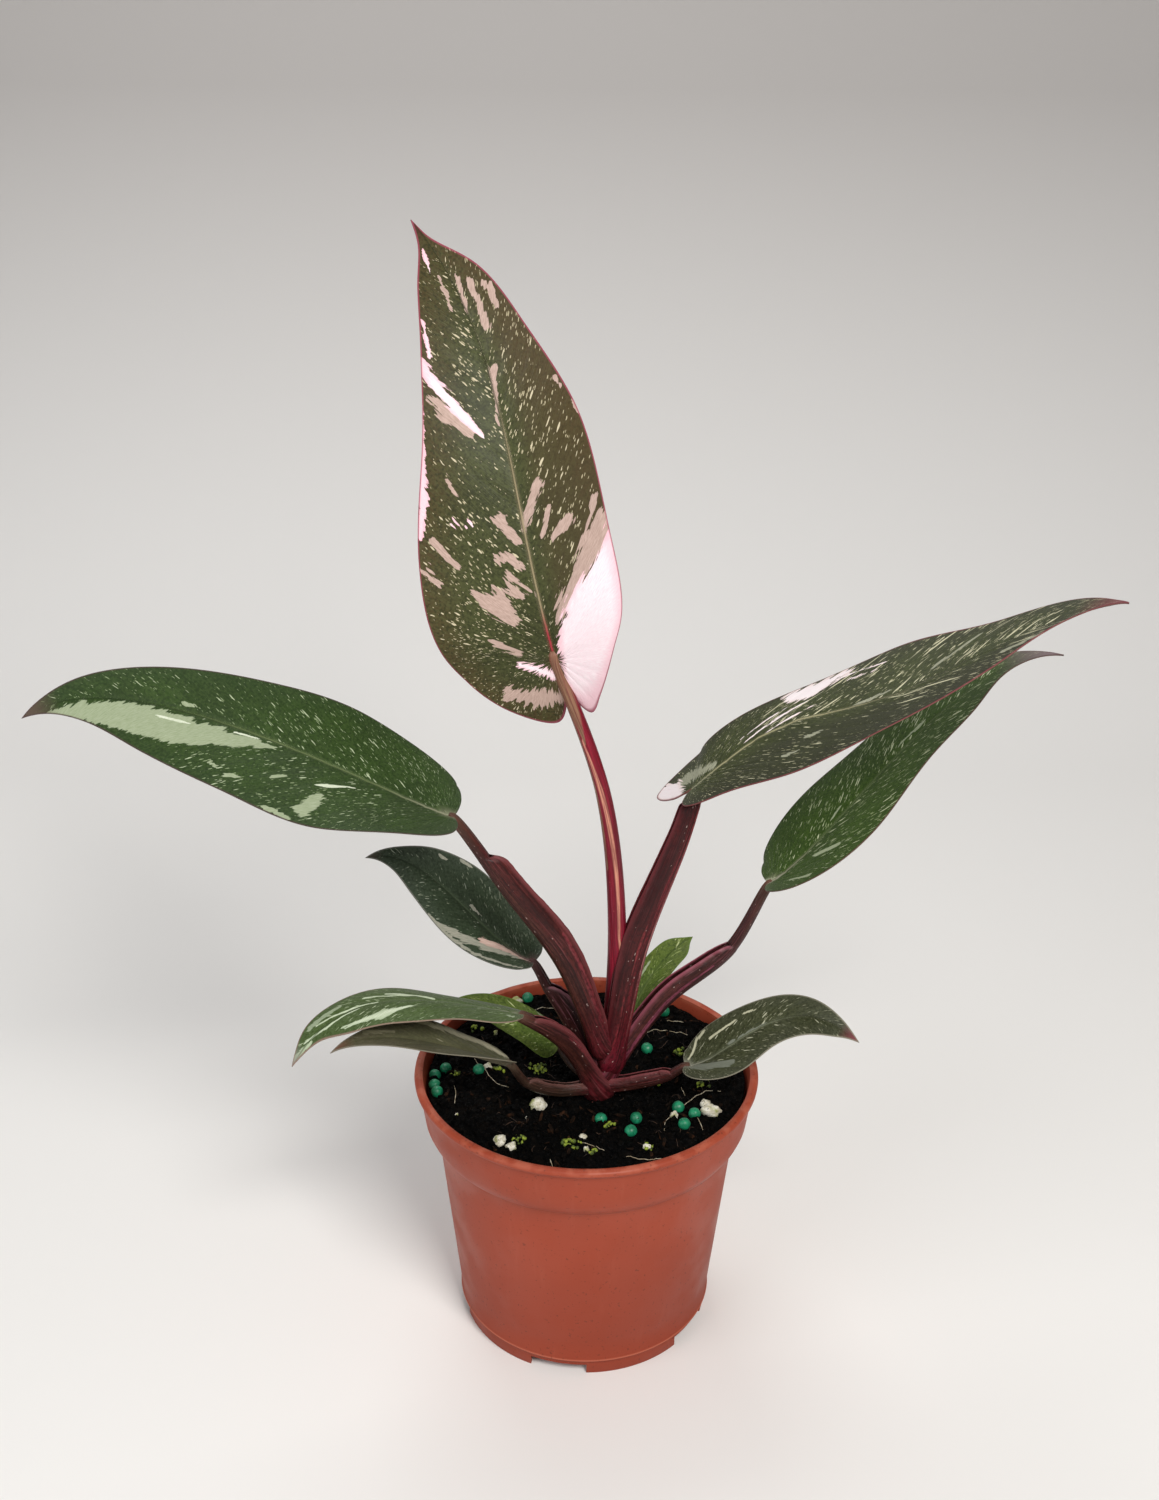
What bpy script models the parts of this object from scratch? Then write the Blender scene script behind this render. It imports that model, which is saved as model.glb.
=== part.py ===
"""A pink princess philodendron in a round nursery pot, modelled in metres with +Z up.

The pot stands on five feet and is filled with potting mix. A short stem stands in a plain
hole in the mix, and ten leaves grow from it, each a petiole with a clasping sheath and a
blade. The sizes below are in millimetres, measured from the pot's axis and its foot.
"""

import math

import bmesh
import bpy
import numpy as np
from mathutils import Matrix, Vector, noise

MM = 0.001
PART_NAME = "potted_pink_princess_philodendron"

# Clearance between pieces that touch
GAP = 0.3

# Pot
RIM_RADIUS = 60.0
POT_HEIGHT = 98.5
WALL = 1.3
BODY_TOP_RADIUS = 51.4
BODY_TOP_Z = 66.5
FOOT_RADIUS = 44.2
FOOT_HEIGHT = 4.2
FLOOR_TOP_Z = 5.6
POT_STEPS = 48
FOOT_COUNT = 5
NOTCH_WIDTH = 26.0
FIRST_NOTCH_AZIMUTH = -102.0
DRAIN_HOLE_RADIUS = 3.5
DRAIN_HOLE_CIRCLE = 33.0

# Potting mix
MIX_TOP_Z = 91.5
DISH_INNER = 18.0
DISH_OUTER = 42.0
DISH_RISE = 3.2
MIX_RINGS = 12
MIX_SECTORS = 36
CRUMB_HEIGHT = 1.4
CRUMB_SCALE = 0.06
FINE_CRUMB_SCALE = 0.29

# Stem
STEM_FOOT = (5.0, -6.0, 70.0)
STEM_RADIUS = 4.2
STEM_TOP_Z = 116.0
STEM_LEAN = (2.0, 3.0)
STEM_SIDES = 10

# Leaf blades
BLADE_THICKNESS = 0.8
BLADE_ROWS = 14
BLADE_COLUMNS = (0.0, 0.3, 0.62, 0.86, 1.0)
SINUS_SHARE = 0.14
SOCKET_SINUS_SHARE = 0.02
FULL_AT10 = 0.95
HEART_LOBE = 0.14
SOCKET_EXTRA = 0.9
FOLD_FADE = 0.35
VEIN_SWEEP = 0.13
VEIN_CURVE = 1.35

# Petioles
PETIOLE_SECTIONS = 9
PETIOLE_END_GAP = 0.5
PETIOLE_END_SHARE = 0.62
PETIOLE_END_DROP = 0.6
GROOVE_TURN = 0.45
SHEATH_AT_FOOT = 0.25
SHEATH_GROWTH = 1.6
SHEATH_FADE = 12.0

# Slow release beads and perlite grains on the mix: places across the top
BEAD_RADIUS = 2.1
BEAD_RISE = 0.35
GRAIN_RISE = 0.2
BEAD_PLACES = [(-50, 7), (-51, 0), (-52, -6), (-50, -13), (-38, 4), (29, 42), (22, 20), (5, -21),
               (17, -23), (14, -31), (32, -16), (37, -22), (33, -28), (-23, 48)]
GRAIN_PLACES = [(-16, -10, 2.9), (43, -18, 3.2), (40, -13, 2.3), (-30, -34, 2.2), (-25, -38, 2.0),
                (26, -25, 1.8), (-8, 13, 2.2), (41, -3, 2.4), (-1, -27, 1.8), (9, -28, 1.8),
                (-1, -34, 1.7), (0, -41, 2.0), (20, -38, 1.8), (-35, 10, 2.0), (-31, 5, 2.0),
                (-27, 46, 2.2), (-6, 48, 2.0)]

# Leaves. spine: midrib from the petiole's end to the tip, as the four points of a Bezier curve.
# face: the side that the upper face looks to. roll: turn about the midrib at base and tip.
# left and right: half width, how far the base lobe reaches back as a share of the length, and
# the width's share at 10, 50, 70 and 85 % of the length. fold: each half's lift at the midrib.
# curl: rise of the margins. wave: height, number and phase of the margin's waves. droop: how far
# the lobes hang back. petiole: its path from the stem. thick: its radius at foot and end.
# sheath: the share of the petiole that has it, and the height of its wings in radii. pink: how much of the blade is pink.
LEAVES = {
    "top": dict(
        spine=((-11, -9, 255), (-26, -7, 307), (-25, 24, 347), (-56, 38, 380)), face=(0, -1, 0.5),
        roll=(-26, 30), fold=7, curl=0.1, left=(33, 0.16, 1.02, 0.77, 0.59, 0.42),
        right=(27, 0.15, 1.06, 0.86, 0.52, 0.26), wave=(1.2, 2.5, 0.6), droop=1.2,
        petiole=((8, -1, 108), (9.8, -4, 155), (4.2, -8, 210)), thick=(3.7, 2.5),
        sheath=(0.0, 0.0), pink=0.9),
    "left_high": dict(
        spine=((-44, -14, 203), (-62, -14, 208), (-149, 2, 256), (-178, -12, 235)),
        face=(0, -0.5, 1), roll=(28, -32), fold=11, curl=-0.1,
        left=(30, 0.015, 0.95, 0.84, 0.58, 0.28), right=(26, 0.015, 0.97, 0.74, 0.50, 0.28),
        wave=(0.8, 2.0, 2.0), droop=0.0,
        petiole=((4.5, -6, 112), (-8, -9, 146), (-26.5, -13, 176)), thick=(3.6, 2.3),
        sheath=(0.745, 2.9), pink=0.0),
    "left_mid": dict(
        spine=((-19, 3, 139), (-36, 9, 142), (-55, 9, 184), (-75, 6, 177)),
        face=(0, -0.6, 1), roll=(28, -26), fold=16, curl=0.0,
        left=(15, 0.02, 0.87, 0.94, 0.66, 0.32), right=(13.4, 0.02, 0.95, 0.96, 0.68, 0.29),
        wave=(0.5, 2.0, 1.0), droop=0.0,
        petiole=((2, -3, 104), (-6, 0, 117), (-13, 1, 129)), thick=(2.9, 1.8),
        sheath=(0.66, 2.2), pink=0.2),
    "left_low": dict(
        spine=((-22, -19, 132), (-50, -15, 135), (-81, -23, 149), (-97, -33, 120)),
        face=(0, -0.1, 1), roll=(31, -3), fold=2, curl=-0.15,
        left=(14, 0.015, 1.0, 0.96, 0.8, 0.27), right=(14, 0.015, 0.94, 0.9, 0.69, 0.5),
        wave=(0.5, 2.0, 0.0), droop=0.0,
        petiole=((3, -8, 98), (-5, -11, 113), (-12, -15, 122.5)), thick=(3.3, 2.4),
        sheath=(0.45, 1.3), pink=0.1),
    "left_lowest": dict(
        spine=((-26, -25, 117), (-43, -30, 125), (-70, -27, 135), (-84, -34, 126)),
        face=(0, 0, 1), roll=(21, -15), fold=12, curl=0.0,
        left=(9, 0.015, 0.92, 0.96, 0.63, 0.33), right=(11, 0.015, 0.92, 0.97, 0.62, 0.26),
        wave=(0.4, 2.0, 0.5), droop=0.0,
        petiole=((2, -9, 96), (-10, -14, 98), (-20, -20, 105)), thick=(2.4, 1.6),
        sheath=(0.62, 1.2), pink=0.3),
    "left_back": dict(
        spine=((-10, 6, 103), (-20, 10, 113), (-37, 14, 121), (-51, 17, 112)),
        face=(0, -0.4, 1), roll=(0, 0), fold=10, curl=0.0,
        left=(10, 0.02, 0.94, 0.9, 0.66, 0.36), right=(4.5, 0.02, 0.94, 0.9, 0.66, 0.36),
        wave=(0.4, 2.0, 0.0), droop=0.0,
        petiole=((2, -3, 95), (-2, 0, 96), (-6, 3, 98)), thick=(1.9, 1.3), sheath=(0.0, 0.0),
        pink=0.0),
    "right_high": dict(
        spine=((34, 4, 205), (54, -4, 225), (150, -4, 276), (157, -31, 283)),
        face=(0, -0.15, 1), roll=(4, -9), fold=3, curl=-0.06,
        left=(25, 0.12, 0.86, 0.96, 0.63, 0.66), right=(21, 0.045, 0.64, 1.1, 0.78, 0.28),
        wave=(0.9, 2.0, 1.2), droop=0.0,
        petiole=((9, -5, 106), (17.6, -4, 150), (30.5, 1, 186)), thick=(3.6, 2.6),
        sheath=(0.93, 1.8), pink=0.4),
    "right_mid": dict(
        spine=((62, 13, 165), (82, 14, 176), (127, 56, 236), (160, 39, 239)),
        face=(0, -0.25, 1), roll=(-25, -18), fold=13, curl=-0.1,
        left=(22, 0.02, 0.99, 0.79, 0.63, 0.46), right=(22, 0.02, 1.0, 0.83, 0.69, 0.26),
        wave=(0.7, 2.0, 0.3), droop=0.0,
        petiole=((7, -6, 99), (26, 2, 124), (49, 9, 141)), thick=(3.2, 2.1),
        sheath=(0.65, 2.3), pink=0.1),
    "right_low": dict(
        spine=((34, -16, 110), (47, -17, 110), (66, -7, 142), (91, -21, 123)),
        face=(0, -0.5, 1), roll=(-28, 13), fold=14, curl=-0.08,
        left=(12, 0.02, 0.95, 0.8, 0.59, 0.28), right=(13.5, 0.02, 0.93, 0.77, 0.57, 0.35),
        wave=(0.5, 2.0, 0.8), droop=0.0,
        petiole=((7, -8, 96), (16, -11, 99), (27, -14, 104)), thick=(2.5, 1.7),
        sheath=(0.7, 1.5), pink=0.3),
    "right_back": dict(
        spine=((13, 6, 104), (16, 14, 116), (25, 24, 128), (38, 34, 131)),
        face=(-0.5, -0.6, 0.7), roll=(0, 0), fold=10, curl=0.0,
        left=(6.8, 0.02, 0.94, 0.9, 0.66, 0.36), right=(7, 0.02, 0.94, 0.9, 0.66, 0.36),
        wave=(0.4, 2.0, 0.0), droop=0.0,
        petiole=((7, -3, 95), (9, 1, 97), (12, 5, 101)), thick=(1.9, 1.3), sheath=(0.0, 0.0),
        pink=0.0),
}


# Materials

def principled(name, colour, roughness, metallic=0.0):
    """A plain Principled material with a colour, a roughness and a metallic value."""
    material = bpy.data.materials.new(name)
    material.use_nodes = True
    shader = material.node_tree.nodes["Principled BSDF"]
    shader.inputs["Base Color"].default_value = (*colour, 1.0)
    shader.inputs["Roughness"].default_value = roughness
    shader.inputs["Metallic"].default_value = metallic
    return material


# Scene helpers

def clear_scene():
    """Remove every object that the file opened with."""
    for thing in list(bpy.data.objects):
        bpy.data.objects.remove(thing, do_unlink=True)


def new_collection(name):
    """A collection of its own under the scene's."""
    collection = bpy.data.collections.new(name)
    bpy.context.scene.collection.children.link(collection)
    return collection


def mesh_object(name, points, faces, collection):
    """An object from points in millimetres and faces, faces turned outwards."""
    mesh = bpy.data.meshes.new(name)
    mesh.from_pydata([tuple(p) for p in np.asarray(points) * MM], [], faces)
    thing = bpy.data.objects.new(name, mesh)
    collection.objects.link(thing)
    return thing


def recalculate_normals(thing):
    """Turn all faces of a closed mesh outwards."""
    work = bmesh.new()
    work.from_mesh(thing.data)
    bmesh.ops.recalc_face_normals(work, faces=work.faces)
    work.to_mesh(thing.data)
    work.free()


def make_cutter(thing):
    """Keep a cutting shape out of the model."""
    thing.hide_render = True
    thing.display_type = "WIRE"


def cut_away(thing, cutter, solver="EXACT"):
    """Take the cutter's shape out of the thing."""
    boolean = thing.modifiers.new("cut", "BOOLEAN")
    boolean.operation = "DIFFERENCE"
    boolean.solver = solver
    boolean.object = cutter


def settle(thing):
    """Apply the modifiers, and keep the one largest body that they leave."""
    graph = bpy.context.evaluated_depsgraph_get()
    finished = bpy.data.meshes.new_from_object(thing.evaluated_get(graph))
    thing.modifiers.clear()
    thing.data = finished
    work = bmesh.new()
    work.from_mesh(finished)
    bmesh.ops.remove_doubles(work, verts=work.verts, dist=0.000002)
    bmesh.ops.triangulate(work, faces=work.faces)
    keep = largest_island(work)
    loose = [v for v in work.verts if v not in keep]
    bmesh.ops.delete(work, geom=loose, context="VERTS")
    work.to_mesh(finished)
    work.free()


def largest_island(work):
    """The points of the connected body that has the most of them."""
    left = set(work.verts)
    best = set()
    while left:
        island = set()
        edge_of_search = [left.pop()]
        while edge_of_search:
            point = edge_of_search.pop()
            island.add(point)
            for edge in point.link_edges:
                other = edge.other_vert(point)
                if other in left:
                    left.discard(other)
                    edge_of_search.append(other)
        if len(island) > len(best):
            best = island
    return best


# Pot

def pot_profile():
    """Outer side from the rim down to the foot, then the foot, the floor and the inner wall."""
    outer = [(RIM_RADIUS - 1.9, POT_HEIGHT), (RIM_RADIUS - 0.6, POT_HEIGHT - 0.4),
             (RIM_RADIUS, POT_HEIGHT - 1.3), (RIM_RADIUS - 0.1, POT_HEIGHT - 2.3),
             (RIM_RADIUS - 1.4, POT_HEIGHT - 2.8), (RIM_RADIUS - 1.7, POT_HEIGHT - 4.0),
             (RIM_RADIUS - 4.4, BODY_TOP_Z + 4.2), (RIM_RADIUS - 4.9, BODY_TOP_Z + 2.6),
             (BODY_TOP_RADIUS + 0.8, BODY_TOP_Z + 0.8), (BODY_TOP_RADIUS, BODY_TOP_Z),
             (FOOT_RADIUS + 0.8, FOOT_HEIGHT + 1.2), (FOOT_RADIUS + 0.7, FOOT_HEIGHT + 0.5),
             (FOOT_RADIUS, FOOT_HEIGHT), (FOOT_RADIUS, 0.0)]
    inner = [(FOOT_RADIUS - 1.6, 0.0), (FOOT_RADIUS - 1.6, FOOT_HEIGHT), (0.0, FOOT_HEIGHT),
             (0.0, FLOOR_TOP_Z), (inner_radius(FLOOR_TOP_Z), FLOOR_TOP_Z)]
    inner += [(inner_radius(z), z) for z in (BODY_TOP_Z, BODY_TOP_Z + 4.2, POT_HEIGHT - 2.0)]
    inner += [(RIM_RADIUS - 2.7, POT_HEIGHT - 0.3)]
    return outer + inner


def inner_radius(z):
    """Radius of the pot's inner wall at a height."""
    heights = [FLOOR_TOP_Z, BODY_TOP_Z, BODY_TOP_Z + 4.2, POT_HEIGHT]
    radii = [FOOT_RADIUS + 0.8 - WALL, BODY_TOP_RADIUS - WALL, RIM_RADIUS - 4.4 - WALL,
             RIM_RADIUS - 1.9 - WALL]
    return float(np.interp(z, heights, radii))


def turned_body(name, profile, steps, collection):
    """A closed profile in the XZ plane, turned about Z with a Screw modifier."""
    points = [(r, 0.0, z) for r, z in profile]
    mesh = bpy.data.meshes.new(name)
    edges = [(i, (i + 1) % len(points)) for i in range(len(points))]
    mesh.from_pydata([tuple(MM * c for c in p) for p in points], edges, [])
    thing = bpy.data.objects.new(name, mesh)
    collection.objects.link(thing)
    screw = thing.modifiers.new("turn", "SCREW")
    screw.axis = "Z"
    screw.angle = math.tau
    screw.steps = steps
    screw.render_steps = steps
    screw.use_merge_vertices = True
    screw.merge_threshold = 0.00001
    screw.use_smooth_shade = True
    return thing


def make_pot(parts, cutters):
    """The moulded pot, with drain holes through its floor and notches between its feet."""
    pot = turned_body("nursery_pot", pot_profile(), POT_STEPS, parts)
    pot.data.materials.append(principled("terracotta plastic", (0.40, 0.105, 0.055), 0.5))
    work = bmesh.new()
    for index in range(FOOT_COUNT):
        azimuth = math.radians(FIRST_NOTCH_AZIMUTH + 360.0 / FOOT_COUNT * index)
        width = 2.0 * FOOT_RADIUS * math.sin(math.radians(NOTCH_WIDTH / 2.0))
        box = bmesh.ops.create_cube(work, size=1.0)["verts"]
        bmesh.ops.scale(work, vec=(0.012, width * MM, 2.0 * (FOOT_HEIGHT - 0.4) * MM), verts=box)
        bmesh.ops.translate(work, vec=((FOOT_RADIUS - 1.0) * MM, 0.0, 0.0), verts=box)
        bmesh.ops.rotate(work, cent=(0, 0, 0), verts=box, matrix=Matrix.Rotation(azimuth, 3, "Z"))
        hole = bmesh.ops.create_cone(work, cap_ends=True, segments=16, depth=0.02,
                                     radius1=DRAIN_HOLE_RADIUS * MM,
                                     radius2=DRAIN_HOLE_RADIUS * MM)["verts"]
        place = Vector((math.cos(azimuth), math.sin(azimuth), 0.0)) * DRAIN_HOLE_CIRCLE * MM
        bmesh.ops.translate(work, vec=place + Vector((0, 0, 0.006)), verts=hole)
    mesh = bpy.data.meshes.new("pot_cutter")
    work.to_mesh(mesh)
    work.free()
    cutter = bpy.data.objects.new("pot_cutter", mesh)
    cutters.objects.link(cutter)
    make_cutter(cutter)
    cut_away(pot, cutter)
    return pot


# Potting mix

def mix_height(x, y):
    """Height of the crumbly top: a shallow dish with fixed noise in two sizes."""
    coarse = noise.noise(Vector((x * CRUMB_SCALE, y * CRUMB_SCALE, 3.7)))
    fine = noise.noise(Vector((x * FINE_CRUMB_SCALE, y * FINE_CRUMB_SCALE, 9.1)))
    out = min(1.0, max(0.0, (math.hypot(x, y) - DISH_INNER) / (DISH_OUTER - DISH_INNER)))
    dish = DISH_RISE * out * out * (3.0 - 2.0 * out)
    return MIX_TOP_Z + dish + CRUMB_HEIGHT * (coarse + fine)


def make_mix(parts, cutters):
    """The mix: a plug that follows the inner wall, with relief, beads and grains on top."""
    points = []
    faces = []
    rims = [(inner_radius(FLOOR_TOP_Z + GAP) - GAP, FLOOR_TOP_Z + GAP),
            (inner_radius(BODY_TOP_Z) - GAP, BODY_TOP_Z),
            (inner_radius(BODY_TOP_Z + 4.2) - GAP, BODY_TOP_Z + 4.2)]
    angles = [math.tau * i / MIX_SECTORS for i in range(MIX_SECTORS)]
    for radius, z in rims:
        points += [(radius * math.cos(a), radius * math.sin(a), z) for a in angles]
    for ring in range(MIX_RINGS, 0, -1):
        radius = (inner_radius(MIX_TOP_Z - 3.0) - GAP - 0.1) * ring / MIX_RINGS
        for a in angles:
            x = radius * math.cos(a)
            y = radius * math.sin(a)
            points.append((x, y, mix_height(x, y)))
    levels = len(rims) + MIX_RINGS
    for level in range(levels - 1):
        for i in range(MIX_SECTORS):
            j = (i + 1) % MIX_SECTORS
            a, b = level * MIX_SECTORS, (level + 1) * MIX_SECTORS
            faces.append((a + i, a + j, b + j, b + i))
    foot_centre = len(points)
    points.append((0.0, 0.0, FLOOR_TOP_Z + GAP))
    top_centre = len(points)
    points.append((0.0, 0.0, mix_height(0.0, 0.0)))
    last = (levels - 1) * MIX_SECTORS
    for i in range(MIX_SECTORS):
        j = (i + 1) % MIX_SECTORS
        faces.append((foot_centre, j, i))
        faces.append((top_centre, last + i, last + j))
    mix = mesh_object("potting_mix", points, faces, parts)
    recalculate_normals(mix)
    mix.data.materials.append(principled("peat and bark mix", (0.012, 0.010, 0.008), 0.9))
    grains = bpy.data.collections.new("mix_grains")
    bpy.context.scene.collection.children.link(grains)
    for index, (x, y) in enumerate(BEAD_PLACES):
        add_grain(grains, "bead_%d" % index, x, y, BEAD_RADIUS, BEAD_RISE)
    for index, (x, y, radius) in enumerate(GRAIN_PLACES):
        add_grain(grains, "grain_%d" % index, x, y, radius, GRAIN_RISE)
    union = mix.modifiers.new("grains", "BOOLEAN")
    union.operation = "UNION"
    union.solver = "MANIFOLD"
    union.operand_type = "COLLECTION"
    union.collection = grains
    hole = tube_object("stem_hole", stem_path(), stem_radii(GAP), STEM_SIDES, cutters)
    make_cutter(hole)
    cut_away(mix, hole, "MANIFOLD")
    settle(mix)
    for thing in list(grains.objects):
        bpy.data.objects.remove(thing, do_unlink=True)
    bpy.data.collections.remove(grains)
    return mix


def add_grain(collection, name, x, y, radius, rise):
    """One round grain, sunk into the top of the mix so that it fuses with it."""
    work = bmesh.new()
    bmesh.ops.create_icosphere(work, subdivisions=1, radius=radius * MM)
    lift = mix_height(x, y) + radius * rise
    bmesh.ops.translate(work, vec=(x * MM, y * MM, lift * MM), verts=work.verts)
    mesh = bpy.data.meshes.new(name)
    work.to_mesh(mesh)
    work.free()
    collection.objects.link(bpy.data.objects.new(name, mesh))


# Curves

def unit(v):
    """Vectors of length one."""
    return v / np.linalg.norm(v, axis=-1, keepdims=True)


def bezier(points, u):
    """Point on a cubic Bezier curve for each u from 0 to 1."""
    p = np.asarray(points, float)
    u = np.asarray(u)[..., None]
    v = 1.0 - u
    return v**3 * p[0] + 3 * v * v * u * p[1] + 3 * v * u * u * p[2] + u**3 * p[3]


def bezier_direction(points, u):
    """Direction of a cubic Bezier curve for each u from 0 to 1."""
    p = np.asarray(points, float)
    u = np.asarray(u)[..., None]
    v = 1.0 - u
    return unit(3 * v * v * (p[1] - p[0]) + 6 * v * u * (p[2] - p[1]) + 3 * u * u * (p[3] - p[2]))


def smooth_curve(points, count):
    """Evenly spread points on a smooth curve through the given ones, by the Catmull-Rom rule."""
    p = np.asarray(points, float)
    step = np.linalg.norm(np.diff(p, axis=0), axis=1) ** 0.5
    knot = np.concatenate([[0.0], np.cumsum(step)])
    chord = np.diff(p, axis=0) / step[:, None]
    slope = np.empty_like(p)
    slope[0] = chord[0]
    slope[-1] = chord[-1]
    slope[1:-1] = chord[:-1] * step[1:, None] + chord[1:] * step[:-1, None]
    slope[1:-1] /= (step[1:] + step[:-1])[:, None]
    s = np.linspace(0.0, knot[-1], count)
    j = np.clip(np.searchsorted(knot, s, side="right") - 1, 0, len(p) - 2)
    h = step[j][:, None]
    t = (s - knot[j])[:, None] / h
    return ((2 * t**3 - 3 * t**2 + 1) * p[j] + (t**3 - 2 * t**2 + t) * h * slope[j]
            + (3 * t**2 - 2 * t**3) * p[j + 1] + (t**3 - t**2) * h * slope[j + 1])


# Tubes with changing sections

def loft(name, rings, collection):
    """A closed body through rings of points, with a flat face on each end."""
    rings = np.asarray(rings)
    count, sides = rings.shape[:2]
    faces = []
    for r in range(count - 1):
        for i in range(sides):
            j = (i + 1) % sides
            faces.append((r * sides + i, r * sides + j, (r + 1) * sides + j, (r + 1) * sides + i))
    faces.append(tuple(range(sides)))
    faces.append(tuple(range((count - 1) * sides, count * sides)))
    thing = mesh_object(name, rings.reshape(-1, 3), faces, collection)
    recalculate_normals(thing)
    return thing


def tube_object(name, path, radii, sides, collection):
    """A round tube along a path that runs roughly upwards."""
    angle = np.linspace(0.0, math.tau, sides, endpoint=False)
    ring = np.stack([np.cos(angle), np.sin(angle), np.zeros(sides)], axis=1)
    rings = path[:, None, :] + ring[None] * np.asarray(radii)[:, None, None]
    return loft(name, rings, collection)


def stem_path():
    """Centre line of the stem, from its foot in the mix to its growing point."""
    z = np.array([STEM_FOOT[2], 84.0, 92.0, 98.0, 104.0, 110.0, STEM_TOP_Z])
    share = (z - z[0]) / (z[-1] - z[0])
    x = STEM_FOOT[0] + STEM_LEAN[0] * share
    y = STEM_FOOT[1] + STEM_LEAN[1] * share
    return np.stack([x, y, z], axis=1)


def stem_radii(extra=0.0):
    """Radius along the stem: swollen at its nodes, thinner towards the top."""
    shares = np.array([0.8, 0.95, 1.05, 1.1, 0.95, 0.8, 0.4])
    return STEM_RADIUS * shares + extra


def make_stem(parts):
    """The short dark stem."""
    stem = tube_object("stem", stem_path(), stem_radii(), STEM_SIDES, parts)
    stem.data.materials.append(principled("maroon stem", (0.05, 0.012, 0.014), 0.5))
    return stem


# Leaf blades

def half_outline(half_width, lobe, at10, at50, at70, at85, count, sinus):
    """One side of a blade: share of the length, and width in millimetres, from base to tip.

    A lobe longer than the heart lobe's share is rounded and hangs in behind the petiole.
    """
    w = half_width
    b = w * min(1.0, at10 / FULL_AT10)
    if lobe > HEART_LOBE:
        base = [(0, 0), (-0.55 * lobe, 0.3 * sinus * b), (-lobe, 0.21 * b),
                (-0.65 * lobe, 0.55 * b), (0.02, 0.785 * b)]
    else:
        base = [(0, 0), (-0.55 * lobe, sinus * b), (-lobe, 0.42 * b),
                (0.015 - 0.45 * lobe, 0.74 * b)]
    points = base + [(0.10, at10 * w), (0.27, w), (0.5, at50 * w), (0.7, at70 * w),
                     (0.85, at85 * w), (0.95, 0.3 * at85 * w), (1, 0)]
    scale = np.array([100.0, 1.0])
    return smooth_curve(np.array(points) * scale, count) / scale


def blade_plan(leaf, rows, columns, sinus):
    """Flat blade: along the midrib and across it, on rows of veins from midrib to margin.

    Both halves take the same vein roots, so that they meet point to point at the midrib.
    """
    margins = [half_outline(*leaf[side], rows + 1, sinus) for side in ("left", "right")]
    swept = [m[:, 0] - VEIN_SWEEP * m[:, 1] / leaf["left"][0] for m in margins]
    root = np.maximum.accumulate(np.maximum(0.0, (swept[0] + swept[1]) / 2.0))
    w = np.asarray(columns)[None, :]
    plan = []
    for margin, sign in zip(margins, (-1.0, 1.0)):
        along = root[:, None] + (margin[:, :1] - root[:, None]) * w**VEIN_CURVE
        across = sign * margin[:, 1:] * w
        plan.append(np.stack([along, across + 0.0 * along], axis=-1))
    return plan


def blade_surface(leaf, plan):
    """Bend the flat blade: along its spine, rolled, folded at the midrib, curled and waved."""
    u = np.linspace(0.0, 1.0, 201)
    spine = bezier(leaf["spine"], u)
    run = np.concatenate([[0.0], np.cumsum(np.linalg.norm(np.diff(spine, axis=0), axis=1))])
    total = run[-1]
    share = np.clip(plan[..., 0], 0.0, 1.0)
    behind = np.minimum(plan[..., 0], 0.0) * total
    at = np.interp(share * total, run, u)
    middle = bezier(leaf["spine"], at)
    along = bezier_direction(leaf["spine"], at)
    middle = middle + along * behind[..., None]
    face = np.asarray(leaf["face"], float)
    up = unit(face - (along @ face)[..., None] * along)
    side = np.cross(along, up)
    roll = np.radians(leaf["roll"][0] + (leaf["roll"][1] - leaf["roll"][0]) * share)[..., None]
    normal = up * np.cos(roll) + side * np.sin(roll)
    lateral = side * np.cos(roll) - up * np.sin(roll)
    across = plan[..., 1]
    width = max(leaf["left"][0], leaf["right"][0])
    fold = math.radians(leaf["fold"]) * (1.0 - FOLD_FADE * share)
    height, waves, phase = leaf["wave"]
    ripple = height * (across / width) ** 2 * np.sin(math.tau * waves * share + phase + across / width)
    rise = np.abs(across) * np.sin(fold) + leaf["curl"] * across**2 / width + ripple
    rise = rise - leaf["droop"] * (behind / 10.0) ** 2
    return middle + lateral * (across * np.cos(fold))[..., None] + normal * rise[..., None]


def blade_faces(rows, columns, start, flip):
    """Quads of one half of a blade from its first vein on, its upper face looking up."""
    faces = []
    for r in range(1, rows):
        for c in range(columns - 1):
            a = start + r * columns + c
            quad = (a, a + columns, a + columns + 1, a + 1)
            faces.append(quad[::-1] if flip else quad)
    return faces


def make_blade(name, leaf, thickness, parts, sinus=SINUS_SHARE):
    """A blade: both halves as one sheet, split into triangles and given its thickness."""
    columns = len(BLADE_COLUMNS)
    plan = blade_plan(leaf, BLADE_ROWS, BLADE_COLUMNS, sinus)
    points = np.concatenate([blade_surface(leaf, half).reshape(-1, 3) for half in plan])
    half_count = (BLADE_ROWS + 1) * columns
    faces = blade_faces(BLADE_ROWS, columns, 0, True)
    faces += blade_faces(BLADE_ROWS, columns, half_count, False)
    blade = mesh_object(name, points, faces, parts)
    work = bmesh.new()
    work.from_mesh(blade.data)
    bmesh.ops.remove_doubles(work, verts=work.verts, dist=0.00001)
    loose = [v for v in work.verts if not v.link_faces]
    bmesh.ops.delete(work, geom=loose, context="VERTS")
    bmesh.ops.triangulate(work, faces=work.faces)
    work.to_mesh(blade.data)
    work.free()
    solid = blade.modifiers.new("thickness", "SOLIDIFY")
    solid.thickness = thickness * MM
    solid.offset = 0.0
    return blade


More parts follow.
